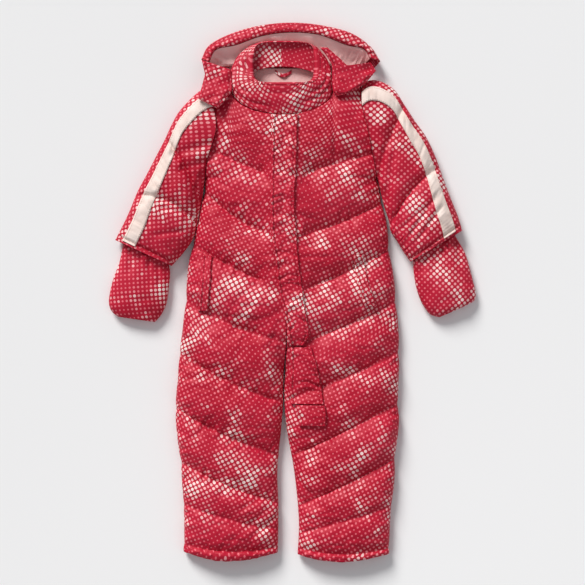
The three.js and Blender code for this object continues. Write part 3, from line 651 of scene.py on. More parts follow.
MATERIALS = {
    "cloth": printed_cloth(),
    "lining": lining_cloth(),
    "tape": tape_cloth(),
    "thread": thread_cloth(),
}


def settle(piece, kind, *nodes, slot=None):
    """Gives a piece its material, hangs it under the root, and hides the frame's parts for the nodes it
    stands for.
    """
    piece.data.materials.append(MATERIALS[kind])
    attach(piece, "root")
    if nodes:
        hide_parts(*nodes)


def padded_wall(node, form, outer, inner, uv, fill, **closing):
    """A padded wall of printed cloth that stands for a node."""
    piece = wall_mesh(f"{node}_{form}", outer, inner, uv, **closing)
    settle(piece, "cloth", node)


# Cloth that is let go between its seams

EXCESS = 0.03
SIM_FRAMES = 14
CLOTH_SETTINGS = {
    "quality": 5,
    "mass": 0.02,
    "tension_stiffness": 30,
    "compression_stiffness": 5,
    "shear_stiffness": 5,
    "bending_stiffness": 0.5,
    "air_damping": 2,
    "use_pressure": True,
    "uniform_pressure_force": 14,
    "shrink_min": -EXCESS,
    "shrink_max": -EXCESS,
}


def let_go(points, sewn):
    """How far each point of a sheet moves when a little spare cloth is blown up between its sewn rows."""
    rows, columns = points.shape[:2]
    index = np.arange(rows * columns).reshape(rows, columns)
    quads = np.stack([index[:-1, :-1], index[1:, :-1], index[1:, 1:], index[:-1, 1:]], axis=-1)
    if grid_normals(points)[..., 2].mean() < 0:
        quads = quads[..., ::-1]
    mesh = bpy.data.meshes.new("loose")
    mesh.from_pydata((points.reshape(-1, 3) * MM).tolist(), [], quads.reshape(-1, 4).tolist())
    loose = add_object("loose", mesh)
    group = loose.vertex_groups.new(name="sewn")
    group.add(index[sewn].tolist(), 1, "REPLACE")
    modifier = loose.modifiers.new("cloth", "CLOTH")
    for setting, value in CLOTH_SETTINGS.items():
        setattr(modifier.settings, setting, value)
    modifier.settings.vertex_group_mass = "sewn"
    modifier.settings.effector_weights.gravity = 0
    modifier.collision_settings.use_collision = False
    for step in range(1, SIM_FRAMES + 1):
        bpy.context.scene.frame_set(step)
    settled = loose.evaluated_get(bpy.context.evaluated_depsgraph_get())
    result = settled.to_mesh()
    places = np.zeros(rows * columns * 3)
    result.vertices.foreach_get("co", places)
    settled.to_mesh_clear()
    bpy.data.objects.remove(loose)
    bpy.data.meshes.remove(mesh)
    bpy.context.scene.frame_set(1)
    return places.reshape(points.shape) / MM - points


def finer(values, rows, columns):
    """A grid of values read off at more rows and columns."""
    r = np.linspace(0, values.shape[0] - 1, rows)
    c = np.linspace(0, values.shape[1] - 1, columns)
    i = np.clip(r.astype(int), 0, values.shape[0] - 2)
    j = np.clip(c.astype(int), 0, values.shape[1] - 2)
    fr = smooth(r - i)[:, None, None]
    fc = smooth(c - j)[None, :, None]
    top = lerp(values[i][:, j], values[i][:, j + 1], fc)
    low = lerp(values[i + 1][:, j], values[i + 1][:, j + 1], fc)
    return lerp(top, low, fr)


def capped(moves, most):
    """Moves kept under a limit, softly."""
    length = np.maximum(np.linalg.norm(moves, axis=-1, keepdims=True), 1e-6)
    return moves * np.tanh(length / most) * most / length


# Sewing

STITCH_INSET = 5
STITCH_LENGTH = 2.6
STITCH_STEP = 3.8
THREAD_RADIUS = 0.34
THREAD_SIDES = 5
SEWN = []


def row_points(points, column):
    """The line through a grid of points at a given column of each row."""
    column = np.broadcast_to(np.asarray(column, float), (len(points),))
    j = np.clip(column.astype(int), 0, points.shape[1] - 2)
    r = np.arange(len(points))
    return lerp(points[r, j], points[r, j + 1], (column - j)[:, None])


def sew(line, lift=0.25, kind="thread"):
    """Notes a row of stitches along a line of points."""
    SEWN.append((np.asarray(line, float), lift, kind))


def build_sewing(name, kind, slot):
    """The rows of stitches of one kind, each stitch a bent length of thread with its ends in the cloth."""
    sides = THREAD_SIDES
    around = np.linspace(0, TAU, sides, endpoint=False)
    dips = np.array([-0.5, 0.35, 0.35, -0.5])
    shares = np.array([0, 0.25, 0.75, 1])
    points, loops, sizes = [], [], []
    for line, lift in [row[:2] for row in SEWN if row[2] == kind]:
        run = distances(line)
        for begin in np.arange(1, run[-1] - STITCH_LENGTH, STITCH_STEP):
            at = begin + shares * STITCH_LENGTH
            middle = np.stack([np.interp(at, run, line[:, axis]) for axis in range(3)], axis=-1)
            middle[:, 2] += dips * THREAD_RADIUS * 2 + lift
            ahead = middle[-1] - middle[0]
            aside = unit(np.cross(ahead, [0, 0, 1]))
            up = unit(np.cross(aside, ahead))
            first = len(points) * sides
            ring = THREAD_RADIUS * (np.cos(around)[:, None] * aside + np.sin(around)[:, None] * up)
            points += [place + ring for place in middle]
            for k in range(len(middle) - 1):
                for n in range(sides):
                    m = (n + 1) % sides
                    a = first + k * sides
                    loops += [a + n, a + m, a + sides + m, a + sides + n]
                    sizes.append(4)
            loops += list(range(first + sides - 1, first - 1, -1))
            last = first + (len(middle) - 1) * sides
            loops += list(range(last, last + sides))
            sizes += [sides, sides]
    piece = make_mesh(name, np.concatenate(points), loops, sizes, np.zeros((len(loops), 2)))
    settle(piece, kind, slot=slot)


# The body

crown_at = reader(BODY_HEIGHTS, "y", "crown")
ceiling_at = reader(BODY_HEIGHTS, "y", "ceiling")


def leg_share(y):
    return smooth((LEG_BLEND_TOP - y) / (LEG_BLEND_TOP - LEG_BLEND_LOW))


def dome_place(across, y):
    armhole = np.clip((y - UNDERARM_Y) / (SHOULDER_Y - UNDERARM_Y), 0, 1)
    lifted = 1 - ARMHOLE_LIFT * np.sqrt(np.maximum(0, np.sin(np.pi * armhole)))
    return lerp(across, 2 * across - 1, leg_share(y)) * lifted


def front_neckline_y(x, shoulder_x):
    from_middle = np.abs(x - COLLAR_BASE["x"])
    reach = COLLAR_BASE["half_width"] + NECK_GAP
    share = np.minimum(NECK_END_SHARE, from_middle / reach)
    seam_y = COLLAR_BASE["y"] - (COLLAR_BASE["half_depth"] + NECK_GAP) * np.sqrt(1 - share**2)
    past = from_middle - NECK_END_SHARE * reach
    shoulder_length = abs(shoulder_x - COLLAR_BASE["x"]) - NECK_END_SHARE * reach
    peak = lerp(SHOULDER_PEAK_Y, SHOULDER_Y, np.clip(past / shoulder_length, 0, 1))
    return np.where(past <= 0, seam_y, lerp(seam_y, peak, smooth(past / SHOULDER_RISE_LENGTH)))


def shoulder_closing(across, y):
    along = smooth((y - SHOULDER_CLOSE_FROM) / (SHOULDER_Y - SHOULDER_CLOSE_FROM))
    return along * smooth((across - SHOULDER_CLOSE_ACROSS) * 10)


class BodyHalf:
    """One half of the body: where a point of its front lies, and how high its front and back are."""

    def __init__(self, side):
        self.side = side
        self.toward_side = -1 if side == "right" else 1
        self.rows = QUILT_ROWS[side]
        self.outline_x = reader(SIDE_OUTLINE[side], "y", "x")
        self.inner_x = reader(INNER_OUTLINE[side], "y", "x")
        self.back_neckline_y = reader(BACK_NECKLINE, "across", "y")
        self.columns = {key: np.array([row[key] for row in self.rows], float) for key in self.rows[0]}

    def side_x(self, y):
        """The side seam, drawn in a little at each quilting row."""
        levels = self.columns["side"]
        y = np.asarray(y, float)
        k = np.clip(np.searchsorted(-levels, -y, side="left") - 1, 0, len(levels) - 2)
        within = np.clip((levels[k] - y) / (levels[k] - levels[k + 1]), 0, 1)
        depth = np.where(within < 0.5, self.columns["depth"][k], self.columns["depth"][k + 1])
        drawn = np.abs(2 * within - 1) ** 3 * depth * smooth((UNDERARM_Y - y) / 20)
        return self.outline_x(y) - self.toward_side * SCALLOP * drawn

    def channel(self, v):
        return np.minimum(np.floor(v), len(self.rows) - 2).astype(int)

    def between(self, v, column):
        k = self.channel(v)
        values = self.columns[column]
        return lerp(values[k], values[k + 1], v - k)

    def front_place(self, across, v):
        centre_y = self.between(v, "centre")
        side_y = self.between(v, "side")
        straight = lerp(centre_y, side_y, across) - self.between(v, "sag") * np.sin(np.pi * across)
        start = self.inner_x(centre_y) + self.toward_side * SEAM_GAP / 2
        x = lerp(start, self.side_x(side_y), across)
        level = lerp(self.rows[0]["centre"], self.rows[0]["side"], across)
        at_neck = front_neckline_y(x, self.side_x(SHOULDER_Y)) - level
        return x, straight + np.where(v < 1, at_neck * (1 - v), 0)

    def quilting(self, across, v):
        """How far the nearest quilting row draws the cloth down, with its distance, number and depth."""
        k = self.channel(v)
        within = v - k
        row = np.where(within < 0.5, k, k + 1)
        depth = self.columns["depth"][row]
        top = lerp(self.columns["centre"][k], self.columns["side"][k], across)
        low = lerp(self.columns["centre"][k + 1], self.columns["side"][k + 1], across)
        away = np.minimum(within, 1 - within) * np.abs(top - low) * QUILT_SLANT
        broad = np.abs(2 * within - 1) ** QUILT_ROUNDNESS
        drawn = depth * lerp(broad, near(away, STITCH_WIDTH), STITCH_SHARE)
        return drawn, away, row, depth

    def front_top(self, across, v, y):
        place = dome_place(across, y)
        edge_fade = 1 - 0.8 * np.abs(place) ** 6
        clear_of_placket = smooth((across - PLACKET_SHARE) / PLACKET_SHARE)
        centre_fade = lerp(clear_of_placket, 1, leg_share(y))
        drawn = self.quilting(across, v)[0]
        rounded = lerp(FRONT_EDGE + EDGE_THICKNESS, crown_at(y), dome(place))
        return rounded - QUILT_DEPTH * drawn * edge_fade * centre_fade

    def front_under(self, across, y):
        opened = dome(dome_place(across, y), CEILING_POWER) * (1 - shoulder_closing(across, y))
        return lerp(FRONT_EDGE, ceiling_at(y), opened)

    def back_place(self, across, down):
        hem = self.rows[-1]
        hem_y = lerp(hem["centre"], hem["side"], across) - hem["sag"] * np.sin(np.pi * across)
        y = lerp(self.back_neckline_y(across), hem_y, down)
        start = self.inner_x(y) + self.toward_side * SEAM_GAP / 2
        return lerp(start, self.side_x(y), across), y

    def back_under(self, across, y):
        return lerp(BACK_WALL - EDGE_THICKNESS, 0, np.clip(1.6 * dome(dome_place(across, y)), 0, 1))


HALVES = {side: BodyHalf(side) for side in ("right", "left")}


def half_grid(place, last_row, rows, columns):
    """Shares across, rows, and places of a grid on one side of a half, denser at its edges."""
    v, t = grid(rows, columns, last_row)
    on_body = np.sin(np.pi / 2 * t)
    on_leg = (1 - np.cos(np.pi * t)) / 2
    across = lerp(on_body, on_leg, leg_share(place(0.5, v)[1]))
    return across, v, *place(across, v)


# Creases pressed into the fronts: ends in the layout, depth and half width
CREASES = table(
    "x0 y0 x1 y1 depth width",
    (-78, 323, -60, 292, 2.2, 4), (66, 322, 68, 234, 2.0, 5), (-88, -366, -62, -350, 2.4, 5),
    (-66, -410, -31, -381, 2.6, 5), (-83, -401, -32, -354, 1.8, 6), (-189, -315, -166, -319, 2.0, 4),
    (-66, -48, -26, -36, 1.6, 5), (10, -320, 28, -342, 2.0, 5), (52, -362, 72, -386, 1.8, 5),
    (-150, 205, -118, 180, 1.6, 6), (140, 190, 112, 172, 1.6, 6),
)

# Creases pressed into the sleeves, their tapes and the mittens
SLEEVE_CREASES = table(
    "x0 y0 x1 y1 depth width",
    (-139, 250, -199, 233, 4.2, 7), (-138, 223, -187, 207, 3.2, 6), (-158, 187, -167, 132, 4, 13),
    (-218, 141, -187, 134, 3.4, 4), (-226, 97, -192, 102, 2.8, 5), (-240, 156, -245, 128, 2, 5),
    (-260, 49, -248, 22, 2.8, 4), (-248, 44, -240, 22, 2.6, 3.5), (-231, 41, -228, 20, 2.2, 3.5),
    (-219, 36, -214, 25, 2.6, 3.5), (128, 274, 138, 221, 4, 7), (158, 160, 168, 233, 3.2, 6),
    (199, 100, 238, 160, 3.4, 4.5), (212, 92, 246, 139, 2.8, 4), (184, 109, 221, 143, 2, 4),
    (173, 257, 201, 214, 2.4, 5), (182, 265, 214, 224, 2, 4), (155, 156, 175, 109, 3.5, 9),
    (231, 71, 221, 49, 2.4, 4), (250, 78, 245, 51, 2.2, 4), (274, 83, 282, 51, 2.2, 4),
)


def crease_depth(x, y, creases):
    total = 0
    for crease in creases:
        dx, dy = crease["x1"] - crease["x0"], crease["y1"] - crease["y0"]
        length = math.hypot(dx, dy)
        along = ((x - crease["x0"]) * dx + (y - crease["y0"]) * dy) / length
        aside = ((x - crease["x0"]) * dy - (y - crease["y0"]) * dx) / length
        past = np.maximum(0, np.maximum(-along, along - length))
        total = total + crease["depth"] * near(aside, crease["width"]) * near(past, 2 * crease["width"])
    return total


PUCKER_HEIGHT = 2.3
SIDE_PUCKER_HEIGHT = 1.6
FRONT_SEEDS = {"right": 3, "left": 8}


def front_relief(half, across, v, x, y):
    """Unevenness of the padded front, outward, in millimetres."""
    seed = FRONT_SEEDS[half.side]
    away, row, depth = half.quilting(across, v)[1:]
    width = np.abs(half.side_x(y) - half.inner_x(y))
    along = across * width
    edge = smooth((1 - across) * width / 14) * smooth(across * width / 14)
    lean = along + 0.35 * (y - np.round(y / 60) * 60)
    pucker = creased(lean / 7.5, row * 7.3 + away / 26, seed)
    pucker = pucker + 0.7 * creased(lean / 4.2, row * 3.1 + away / 16, seed + 1)
    pucker = pucker * near(away, 14) * (0.65 + 0.35 * ripple(along / 40, row * 2.7, seed + 2)) * depth
    from_side = (1 - across) * width
    side_pucker = creased(y / 8, from_side / 40, seed + 3) * near(from_side, 20) * smooth(from_side / 5)
    diagonal = along * 0.86 + y * 0.5 * half.toward_side
    rolling = ripple(x / 62, y / 48, seed + 4) * 1.5 + creased(diagonal / 34, y / 17, seed + 5) * 1.1
    small = creased(diagonal / 15, y / 9, seed + 6) * 0.8 + ripple(x / 5, y / 5, seed + 7) * 0.2
    relief = (PUCKER_HEIGHT * pucker + rolling + small) * edge + SIDE_PUCKER_HEIGHT * side_pucker
    return relief - crease_depth(x, y, CREASES)


class HeightField:
    """Height of the finished fronts over the floor, on a grid of square cells."""

    CELL = 1.0
    LOW_X, LOW_Y = -230, -480
    ACROSS, ALONG = 440, 900
    FINER = 4

    def __init__(self):
        self.z = np.zeros((self.ALONG, self.ACROSS))

    def add(self, points):
        dense = finer(points, points.shape[0] * self.FINER, points.shape[1] * self.FINER)
        column = np.clip(((dense[..., 0] - self.LOW_X) / self.CELL).astype(int), 0, self.ACROSS - 1)
        row = np.clip(((dense[..., 1] - self.LOW_Y) / self.CELL).astype(int), 0, self.ALONG - 1)
        np.maximum.at(self.z, (row, column), dense[..., 2])

    def read(self, x, y, reach=1):
        """Highest point within reach of a place, blended between cells."""
        column = np.clip((x - self.LOW_X) / self.CELL - 0.5, reach, self.ACROSS - 2 - reach)
        row = np.clip((y - self.LOW_Y) / self.CELL - 0.5, reach, self.ALONG - 2 - reach)
        i, j = row.astype(int), column.astype(int)

        def highest(at_row, at_column):
            steps = range(-reach, reach + 1)
            return np.max([self.z[at_row + a, at_column + b] for a in steps for b in steps], axis=0)

        top = lerp(highest(i, j), highest(i, j + 1), column - j)
        return lerp(top, lerp(highest(i + 1, j), highest(i + 1, j + 1), column - j), row - i)


FRONTS = HeightField()

FRONT_ROWS = 400
FRONT_COLUMNS = 92
LOOSE_ROWS = 240
LOOSE_COLUMNS = 60
LOOSE_SHARE = 0.55
MOST_MOVE = 7


def front_grid(half, rows, columns):
    return half_grid(half.front_place, len(half.rows) - 1, rows, columns)


def front_moves(half):
    """Swell and puckers of a front between its quilting rows."""
    across, v, x, y = front_grid(half, LOOSE_ROWS, LOOSE_COLUMNS)
    start = stack(x, y, half.front_top(across, v, y) + 0.15 * front_relief(half, across, v, x, y))
    start[..., 2] += 0.5 * ripple(x / 7, y / 7, 5)
    sewn = np.zeros(v.shape, bool)
    sewn[:, [0, -1]] = True
    for row in range(len(half.rows)):
        if half.rows[row]["depth"] > 0 or row == 0:
            sewn[np.argmin(np.abs(v[:, 0] - row))] = True
    return capped(let_go(start, sewn) * LOOSE_SHARE, MOST_MOVE)


def build_front(half):
    across, v, x, y = front_grid(half, FRONT_ROWS, FRONT_COLUMNS)
    outer = stack(x, y, half.front_top(across, v, y))
    uv = cloth_uv(outer, DOT_TURN["body"])
    normals = grid_normals(outer) * -half.toward_side
    normals *= np.sign(normals[..., 2:3] + 1e-9)
    outer = outer + normals * front_relief(half, across, v, x, y)[..., None]
    outer = outer + finer(front_moves(half), FRONT_ROWS, FRONT_COLUMNS)
    inner = stack(x, y, half.front_under(across, y))
    outer[..., 2] = np.maximum(outer[..., 2], inner[..., 2] + LEAST_FRONT_WALL)
    FRONTS.add(outer)
    for row, level in enumerate(half.rows):
        if level["depth"] > 0.4:
            sew(outer[np.argmin(np.abs(v[:, 0] - row))], 0.1)
    padded_wall(f"front_{half.side}", "shell", outer, inner, uv, 0.55)


BACK_ROWS = 150
BACK_COLUMNS = 34


def build_back(half):
    across, _, x, y = half_grid(half.back_place, 1, BACK_ROWS, BACK_COLUMNS)
    outer = stack(x, y, half.back_under(across, y))
    inner = stack(x, y, BACK_WALL)
    padded_wall(f"back_{half.side}", "shell", outer, inner, cloth_uv(outer, DOT_TURN["body"]), 0.5)


# Sleeves and mittens


def ring_height(angle, seam, top, floor):
    rise = dome(np.cos(angle))
    upper = lerp(seam, top, rise)
    lower = lerp(seam, floor, np.clip(1.5 * rise, 0, 1))
    return np.where(np.sin(angle) >= 0, upper, lower)


class Sleeve:
    """A sleeve from the armhole to the cuff, flattened between its over and under edges."""

    def __init__(self, side):
        edges = SLEEVE_EDGES[side]
        self.side = side
        self.half = HALVES[side]
        self.toward_side = self.half.toward_side
        self.read = {key: row_reader(edges, key) for key in edges[0]}
        self.last_row = len(edges) - 1

    def place(self, across, v):
        under_y = self.read["under_y"](v)
        clear_x = self.half.side_x(under_y) + self.toward_side * SLEEVE_CLEARANCE
        sign = self.toward_side
        under_x = sign * np.maximum(sign * self.read["under_x"](v), sign * clear_x)
        x = lerp(self.read["over_x"](v), under_x, across)
        y = lerp(self.read["over_y"](v), under_y, across)
        armhole_y = lerp(SHOULDER_Y - 1, UNDERARM_Y, across)
        armhole_x = self.half.side_x(armhole_y) + sign * ARMHOLE_GAP
        share = smooth(v / SLEEVE_HEAD_ROWS)
        return lerp(armhole_x, x, share), lerp(armhole_y, y, share)

    def width(self, v):
        x0, y0 = self.place(0, v)
        x1, y1 = self.place(1, v)
        return np.hypot(x1 - x0, y1 - y0)

    def groove(self, across, v):
        """Depth of the nearest quilting row, and the distance from it."""
        drawn = 0
        nearest = 1e3
        for row in SLEEVE_GROOVES[self.side]:
            at = lerp(row["over_row"], row["under_row"], across)
            away = np.abs(v - at) * lerp(OVER_STEP, UNDER_STEP, across)
            broad = np.clip(1 - away / row["reach"], 0, 1) ** 2.2
            drawn = np.maximum(drawn, row["depth"] * lerp(broad, near(away, 4), 0.4))
            nearest = np.minimum(nearest, np.where(row["reach"] > 10, away, 1e3))
        return drawn, nearest

    def top(self, across, v):
        rise = dome(2 * across - 1)
        drawn = self.groove(across, v)[0] * np.minimum(1, 1.3 * rise)
        return lerp(SLEEVE_SEAM, self.read["crown"](v), rise) - SLEEVE_QUILT_DEPTH * drawn

    def relief(self, across, v, x, y, extra=0):
        """Unevenness of the upper side, which the tape shares, dying away at the edges and the ends."""
        seed = SLEEVE_SEEDS[self.side]
        across_mm = across * self.width(v)
        along = v * SLEEVE_ROW_LENGTH
        at_groove = near(self.groove(across, v)[1], 16)
        at_tape = near(across_mm - TAPE_INSET - TAPE_WIDTH / 2, 26)
        pucker = creased(across_mm / 10, along / 26, seed) * 1.9
        pucker = pucker + creased(across_mm / 5, along / 18, seed + 6) * 0.4
        waves = creased(along / 12, across_mm / 40, seed + 1) * 1.3
        waves = waves + creased(along / 5.5, across_mm / 26, seed + 5) * 0.5
        rolling = ripple(x / 40, y / 34, seed + 3) * 1.3
        rolling = rolling + creased((x + y) / 22, (x - y) / 34, seed + 4) * 1.2
        relief = pucker * at_groove + waves * at_tape + rolling + extra
        relief = relief - crease_depth(x, y, SLEEVE_CREASES)
        upper = smooth(4.4 * np.sqrt(across * (1 - across)))
        return relief * upper * smooth(v / 0.4) * smooth((self.last_row - v) / 0.25)


SLEEVES = {side: Sleeve(side) for side in ("right", "left")}
SLEEVE_GRID = {"rows": 180, "ring": 130}


def ring_shares(angle):
    return (1 - np.cos(angle)) / 2


CUFF_STITCH_ROW = 0.22
TAPE_STITCH_INSET = 2.4
TAPE_SINK = 0.6
TAPE_PROUD = 0.5
TAPE_START_ROWS = 0.15
TAPE_END_ROWS = 0.2


def build_sleeve(sleeve):
    rows, ring = SLEEVE_GRID["rows"], SLEEVE_GRID["ring"]
    v, angle = ring_grid(rows, ring, sleeve.last_row)
    share = ring_shares(angle)
    x, y = sleeve.place(share, v)
    on_top = np.sin(angle) > 0
    z = np.where(on_top, sleeve.top(share, v), ring_height(angle, SLEEVE_SEAM, SLEEVE_SEAM, 0))
    outer = stack(x, y, z)
    uv = ring_uv(closed_ring(outer), DOT_TURN[f"sleeve_{sleeve.side}"])
    width = sleeve.width(v)
    under_pucker = creased(v * SLEEVE_ROW_LENGTH / 8, share * width / 30, SLEEVE_SEEDS[sleeve.side] + 2)
    under_pucker = under_pucker * near((1 - share) * width, 20)
    outer[..., 2] += np.where(on_top, sleeve.relief(share, v, x, y, 1.8 * under_pucker), 0)
    inset = (SLEEVE_WALL / 2) / width
    ix, iy = sleeve.place(lerp(inset, 1 - inset, share), v)
    iz = ring_height(angle, SLEEVE_SEAM, sleeve.read["crown"](v) - SLEEVE_LOFT, SLEEVE_WALL)
    for level in (CUFF_STITCH_ROW, sleeve.last_row - CUFF_STITCH_ROW):
        sew(outer[round(level / sleeve.last_row * (rows - 1)), 1 : ring // 2], 0.3)
    padded_wall(f"sleeve_{sleeve.side}", "shell", outer, stack(ix, iy, iz), uv, 0.55, wrap=True)


def ring_uv(points, turn):
    """Layout of the cloth round a flattened tube: top and underside both unroll from the over edge."""
    half = (points.shape[1] - 1) // 2
    top = cloth_uv(points[:, : half + 1], turn)
    low = cloth_uv(points[:, half:][:, ::-1], turn)[:, ::-1]
    return np.concatenate([top, low[:, 1:]], axis=1)


def build_tape(sleeve):
    rows, columns = 220, 15
    v, u = grid(rows, columns, sleeve.last_row - TAPE_END_ROWS, TAPE_START_ROWS)
    across = (TAPE_INSET + TAPE_WIDTH * u) / sleeve.width(v)
    x, y = sleeve.place(across, v)
    z = sleeve.top(across, v) + sleeve.relief(across, v, x, y) + STRIP_LIFT
    bottom = stack(x, y, z - TAPE_SINK)
    top = stack(x, y, z + TAPE_PROUD + TAPE_THICKNESS * (0.6 + 0.4 * dome(2 * u - 1)))
    piece = wall_mesh(f"tape_{sleeve.side}_strip", top, bottom, cloth_uv(top, 0))
    settle(piece, "tape", f"tape_{sleeve.side}")
    for inset in (TAPE_STITCH_INSET, TAPE_WIDTH - TAPE_STITCH_INSET):
        sew(row_points(top, inset / TAPE_WIDTH * (columns - 1)), kind="tape")
    flat = (TAPE_WIDTH * MM, round(line_length(top[:, columns // 2]), 3))


MITTEN_GRID = {"rows": 80, "ring": 90}
MITTEN_SEEDS = {"right": 51, "left": 63}
MITTEN_STITCH_ROW = 0.35


def build_mitten(sleeve):
    side = sleeve.side
    far = np.array(sleeve.place(MITTEN_CUFF_FROM, sleeve.last_row), float)
    near_side = np.array(sleeve.place(MITTEN_CUFF_TO, sleeve.last_row), float)
    line = (near_side - far) / np.linalg.norm(near_side - far)
    down = np.array([line[1], -line[0]]) * -sleeve.toward_side
    far, near_side = far + down * SEAM_GAP, near_side + down * SEAM_GAP
    cuff = table("far_x far_y near_x near_y crown", (*far, *near_side, MITTEN_CUFF_CROWN))
    edges = cuff + MITTEN_EDGES[side]
    read = {key: row_reader(edges, key) for key in edges[0]}
    last_row = len(edges) - 1
    rows, ring = MITTEN_GRID["rows"], MITTEN_GRID["ring"]
    v, angle = ring_grid(rows, ring, last_row)
    share = ring_shares(angle)

    def bag(reach, inset, loft, floor):
        at = v * reach
        fx, fy, nx, ny = (read[key](at) for key in ("far_x", "far_y", "near_x", "near_y"))
        edge = inset / np.hypot(nx - fx, ny - fy)
        across = lerp(edge, 1 - edge, share)
        crown = np.maximum(MITTEN_SEAM + 1, read["crown"](at) - loft)
        z = ring_height(angle, MITTEN_SEAM, crown, floor)
        return stack(lerp(fx, nx, across), lerp(fy, ny, across), z)

    outer = bag(1, 0, 0, 0)
    inner = bag(MITTEN_INSIDE_SHARE, MITTEN_WALL, MITTEN_LOFT, MITTEN_WALL)
    uv = ring_uv(closed_ring(outer), DOT_TURN[f"sleeve_{side}"])
    seed = MITTEN_SEEDS[side]
    x, y = outer[..., 0], outer[..., 1]
    gathers = creased(share * 11 + 0.5 * ripple(v, share * 4, seed), v * 0.4, seed) * near(v, 1.1) * 4.6
    rolling = ripple(x / 34, y / 30, seed + 1) * 1.2 + creased(x / 19, y / 24, seed + 2) * 1.3
    edge_pucker = creased(y / 7, share * 3, seed + 3) * np.abs(2 * share - 1) ** 4 * 1.4
    relief = gathers + rolling + edge_pucker - crease_depth(x, y, SLEEVE_CREASES)
    ends = smooth(v / 0.15) * smooth(last_row - v)
    outer[..., 2] += np.where(np.sin(angle) > 0, relief * smooth(np.sin(angle) * 2) * ends, 0)
    sew(outer[round(MITTEN_STITCH_ROW / last_row * (rows - 1)), 2 : ring // 2 - 1], 0.3)
    padded_wall(f"mitten_{side}", "bag", outer, inner, uv, 0.5, wrap=True, cap=True)


# Strips on the fronts


def softened(values, passes):
    """A grid of values with its sharp steps smoothed away."""
    for _ in range(passes):
        wide = np.pad(values, 1, mode="edge")
        values = (wide[:-2, 1:-1] + wide[2:, 1:-1] + wide[1:-1, :-2] + wide[1:-1, 2:] + 2 * values) / 6
    return values


STRIP_ROW_STEP = 1.3
STRIP_SOFTENING = 12


def build_strip(name, edges, thickness, columns, puckers, step=STRIP_ROW_STEP):
    """A padded strip sewn on along its sides, which bridges the channels and puckers at its stitching."""
    left, right = reader(edges, "y", "left"), reader(edges, "y", "right")
    top, bottom = edges[0]["y"], edges[-1]["y"]
    y, u = grid(int((top - bottom) / step) + 1, columns, bottom, top)
    seed = sum(map(ord, name)) % 97
    width = right(y) - left(y)
    edge = np.minimum(u, 1 - u) * width
    scallop = ripple(y / 9, np.round(u) * 5, seed) * 0.9 + ripple(y / 21, np.round(u) * 5, seed + 1)
    x = lerp(left(y), right(y), u) + scallop * puckers * (2 * u - 1) * np.exp(-edge / 5) * 0.9
    ground = softened(FRONTS.read(x, y, 2), STRIP_SOFTENING)
    ground = np.maximum(ground, FRONTS.read(x, y) + 0.3)
    rolled = np.sqrt(np.clip(edge / 4, 0, 1))
    slanted = y + 16 * np.abs(u - 0.5) + 5 * ripple(y / 30, u * 2, seed + 4)
    cross = creased(slanted / 12, u * 1.1, seed + 2) * 2.2 + creased(y / 5.5, u * 2.2, seed + 3) * 0.8
    sewn = 1.7 * near(edge - STITCH_INSET, 1.5)
    relief = 1.5 * near(edge - 2.5, 2.2) + puckers * (cross * smooth(edge / 3) - sewn)
    outer = stack(x, y, ground + STRIP_LIFT + thickness * (0.3 + 0.7 * rolled) + relief)
    inner = stack(x, y, ground + STRIP_LIFT * 0.4)
    outer[..., 2] = np.maximum(outer[..., 2], inner[..., 2] + LEAST_STRIP_WALL)
    padded_wall(name, "flap", outer, inner, cloth_uv(outer, DOT_TURN["body"]), 0.3)
    inset = STITCH_INSET / width[:, 0]
    for share in (inset, 1 - inset):
        sew(row_points(outer, share * (columns - 1)))


# Collar


def squared(value, power):
    return np.sign(value) * np.abs(value) ** power


def collar_line(line, angle):
    return stack(
        line["x"] + line["half_width"] * squared(np.sin(angle), line["power"]),
        line["y"] - line["half_depth"] * squared(np.cos(angle), line["power"]),
        line["z"] + line["rise"] * np.cos(angle),
    )


# Folds pressed into the collar: where they start and end round it and up it, with depth and half width
COLLAR_FOLDS = table(
    "a0 a1 t0 t1 depth width",
    (-2.3, -0.9, 0.72, 0.50, 4.0, 0.07), (-1.9, -0.5, 0.30, 0.22, 2.2, 0.06),
    (0.9, 2.1, 0.55, 0.70, 4.5, 0.07), (0.7, 1.9, 0.30, 0.34, 3.2, 0.06),
    (2.5, 3.1, 0.95, 0.30, 3.0, 0.10), (-3.1, -2.6, 0.35, 0.95, 2.5, 0.10),
)
COLLAR_FRONT_SEAMS = (-36.5, 6.8)
COLLAR_OVERLAP = 1.4
COLLAR_STITCH_SHARE = 0.9
COLLAR_SEED = 71


def collar_folds(angle, t):
    total = 0
    for fold in COLLAR_FOLDS:
        share = (angle - fold["a0"]) / (fold["a1"] - fold["a0"])
        centre = lerp(fold["t0"], fold["t1"], np.clip(share, 0, 1))
        past = np.maximum(0, np.maximum(-share, share - 1)) * abs(fold["a1"] - fold["a0"])
        total = total + fold["depth"] * near(t - centre, fold["width"]) * near(past, 0.25)
    return total


def collar_layout(outer):
    """Layout of the cloth round the collar, with its length around and how far it climbs."""
    closed = closed_ring(outer)
    around = np.repeat(distances(closed[len(outer) // 2])[None], len(outer), axis=0)
    climb = np.stack([distances(column) for column in closed.swapaxes(0, 1)], axis=1)
    return around[:, :-1], turned(around, -climb, DOT_TURN["body"])


